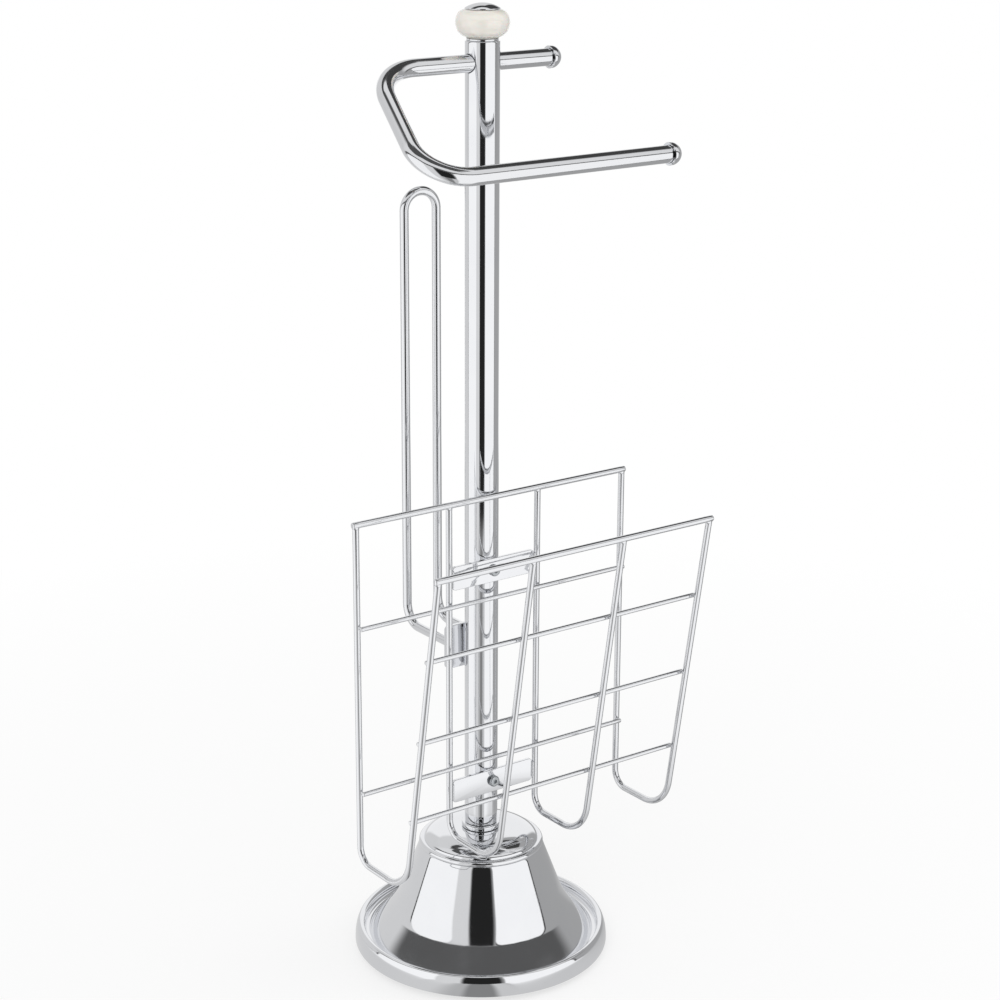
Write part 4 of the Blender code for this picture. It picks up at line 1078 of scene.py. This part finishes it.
def room():
    """What the chrome mirrors, seen only by its rays: a card on the floor, whose light and shade
    are painted on, a wall of soft panels that stands further out at the sides, and a dark roof.
    The brightness of each point is a function of its azimuth from the camera, s, its height, h,
    and its share of the wall's radius, and is held in an attribute."""
    cols = 900
    side = np.linspace(-180, 180, cols, endpoint=False)
    wall_r = ROOM_R + ROOM_STEP * smooth(abs(side), 25, 65) * (1 - smooth(abs(side), 85, 115))
    floor_rows, wall_rows, roof_rows = 40, 170, 60
    out = np.concatenate([
        np.linspace(0.02, 1, floor_rows), np.ones(wall_rows), np.linspace(1, 0.001, roof_rows)
    ])
    up = np.concatenate([
        np.full(floor_rows, 1.0), np.linspace(6, ROOM_TOP, wall_rows),
        ROOM_TOP + ROOF_RISE * (1 - np.linspace(1, 0, roof_rows) ** 2),
    ])
    h, s, share = up[:, None], side[None, :] + 0 * up[:, None], out[:, None]
    angle = CAMERA_TURN - math.pi / 2 + np.radians(side)
    r = out[:, None] * wall_r
    points = np.stack([r * np.cos(angle), r * np.sin(angle), h + 0 * r], -1).reshape(-1, 3)

    # The wall: pale cards to the left, grey ones to the right and white ones far behind
    behind = smooth(abs(s), 96, 112)
    level = np.where(s < -20, LEFT_PALE, RIGHT_GREY) + 0 * h
    far = smooth(abs(s), 146, 153) * band(h, 60, 900, 60)
    level = laid(level, FAR_WHITE, far)
    right_back = smooth(s, 100, 110) * (1 - smooth(s, 168, 176))
    level = laid(level, BACK_PALE, band(h, 850, 1700, 140) * behind * (1 - right_back))
    dark_from = 1650 - 570 * right_back
    dark_back = smooth(h, dark_from - 45, dark_from + 45) * behind
    level = laid(level, BACK_DARK, dark_back)

    # Each side's cards end at one line, which stands lower further round. Over it runs a dark
    # gap, and above the gap the front is white again
    around = (0, 22, 44, 64, 82, 98, 112, 126, 138)
    fall = np.interp(abs(side), around, (43.4, 42.2, 39.3, 34.6, 28.4, 21.3, 13.6, 5.6, -2.6))
    line = BELL_MIDDLE + wall_r * np.tan(np.radians(fall))
    level = laid(level, OVER_FRONT, smooth(h, line + 190, line + 260) * (1 - behind))

    def panel(low, high, corner, outer_side):
        """One soft box up to the line: white inside a rounded outline, with a thin dark frame
        on its outer side. The outline is a distance, in degrees, to a box of rounded corners."""
        nonlocal level
        lift = (h - line) / 17.0 + corner
        across = abs(s - (low + high) / 2) - (high - low) / 2 + corner
        away = np.hypot(np.maximum(across, 0), np.maximum(lift, 0))
        away = away + np.minimum(np.maximum(across, lift), 0) - corner
        framed = band(away, -0.5, 2.0, 0.8) * np.where((s - low) * outer_side > 0, 1, 0)
        framed = framed * (1 - smooth(h, line + 20, line + 60))
        inside = 1 - smooth(away, -0.9, 0.4)
        level = laid(laid(level, FRAME_DARK, framed), SOFT_BOX, inside)

    panel(-99, -37, 16, -1)
    panel(20, 88, 10, 1)
    for low, high, soft, value in ((-38, -15, 4, LEFT_EDGE), (-15.5, 18, 5, STRIP_DARK)):
        strip = band(s, low, high, soft) * (1 - smooth(h, line - 20, line + 10))
        level = laid(level, value, strip)
    gap = band(h, line + GAP_FOOT, line + GAP_RISE, 16) * (1 - behind)
    level = laid(level, GAP_DARK, gap)

    # The roof: dark, with a white card behind the pole and white edges at the sides
    roof = smooth(h, ROOM_TOP - 60, ROOM_TOP + 5)
    card = band(share, 0.36, 0.97, 0.06) * smooth(abs(s), 118, 132)
    edges = smooth(share, 0.78, 0.84) * band(s, 60, 120, 12)
    level = laid(level, ROOF_DARK + 0.80 * np.maximum(card, edges), roof)

    # The floor card, with painted light and shade: dim with painted shade under the dark strip,
    # paler with painted light at the sides, and as bright as the wall further out
    left = 0.24 * smooth(-s, 6, 11) + 0.21 * smooth(-s, 12, 28)
    right = 0.41 * smooth(s, 6, 11)
    near = 0.27 + left + right * (1 - 0.3 * smooth(s, 60, 110))
    wall_foot = level[floor_rows][None, :]
    lit = smooth(share, 0.09, 0.24) * smooth(abs(s), 16, 26) + smooth(share, 0.86, 1.0)
    level[:floor_rows] = laid(near, wall_foot, np.clip(lit, 0, 1))[:floor_rows]

    obj = put_mesh("studio_room", points, [grid_faces(len(out), cols, False, True)])
    glow = obj.data.attributes.new("glow", "FLOAT", "POINT")
    glow.data.foreach_set("value", level.astype(np.float32).ravel())
    made, tree, material_out = new_material("studio_cards")
    value = add(tree, "ShaderNodeAttribute", {"attribute_name": "glow"})
    shade = add(tree, "ShaderNodeEmission", None, {"Strength": value.outputs["Fac"]})
    tree.links.new(shade.outputs["Emission"], material_out.inputs["Surface"])
    obj.data.materials.append(made)
    for flag in ("camera", "diffuse", "transmission", "shadow", "volume_scatter"):
        setattr(obj, f"visible_{flag}", False)


def world():
    """White behind everything that looks straight out, and a soft level for matt surfaces."""
    made = bpy.data.worlds.new("studio_white")
    made.use_nodes = True
    tree = made.node_tree
    tree.nodes.clear()
    level = add(
        tree, "ShaderNodeMapRange", {"To Min": 0.72, "To Max": 1.0},
        {"Value": white_seen_directly(tree)},
    )
    shade = add(
        tree, "ShaderNodeBackground", {"Color": linear("#FFFFFF")},
        {"Strength": level.outputs["Result"]},
    )
    out = add(tree, "ShaderNodeOutputWorld")
    tree.links.new(shade.outputs["Background"], out.inputs["Surface"])
    bpy.context.scene.world = made


def placed(right, up, back, place):
    """A matrix from three unit axes and a place in metres."""
    m = np.eye(4)
    m[:3, 0], m[:3, 1], m[:3, 2], m[:3, 3] = right, up, back, place
    return Matrix(m.tolist())


def lamp(name, place, size, power):
    """A square soft lamp aimed at the middle of the holder, left out of the chrome."""
    data = bpy.data.lights.new(name, "AREA")
    data.size, data.energy = size, power
    obj = bpy.data.objects.new(name, data)
    back = np.array(place) - [0, 0, 0.3]
    back /= np.linalg.norm(back)
    right = np.cross([0, 0, 1], back)
    right /= np.linalg.norm(right)
    obj.matrix_world = placed(right, np.cross(back, right), back, place)
    obj.visible_glossy = False
    bpy.context.scene.collection.objects.link(obj)


def camera():
    """A view from 35.7 degrees to the left of the rack's front and 17.35 degrees down."""
    data = bpy.data.cameras.new("camera")
    data.lens, data.sensor_width, data.shift_x = CAMERA_LENS, 36.0, CAMERA_SHIFT
    data.clip_start, data.clip_end = 0.05, 60.0
    obj = bpy.data.objects.new("camera", data)
    pitch, roll = CAMERA_PITCH, CAMERA_ROLL
    away = np.array([math.sin(CAMERA_TURN), -math.cos(CAMERA_TURN), 0.0])
    right = np.array([math.cos(CAMERA_TURN), math.sin(CAMERA_TURN), 0.0])
    back = away * math.cos(pitch) + np.array([0, 0, math.sin(pitch)])
    up = np.cross(back, right)
    level_right = right * math.cos(roll) + up * math.sin(roll)
    level_up = up * math.cos(roll) - right * math.sin(roll)
    place = away * CAMERA_AWAY + np.array([0, 0, CAMERA_HEIGHT])
    obj.matrix_world = placed(level_right, level_up, back, place)
    bpy.context.scene.collection.objects.link(obj)
    bpy.context.scene.camera = obj


floor()
room()
world()
lamp("key_lamp", (-1.6, -1.4, 1.9), 1.4, 22.0)
lamp("fill_lamp", (1.8, -0.8, 1.4), 1.2, 9.0)
camera()
bpy.context.scene.view_settings.view_transform = "Standard"
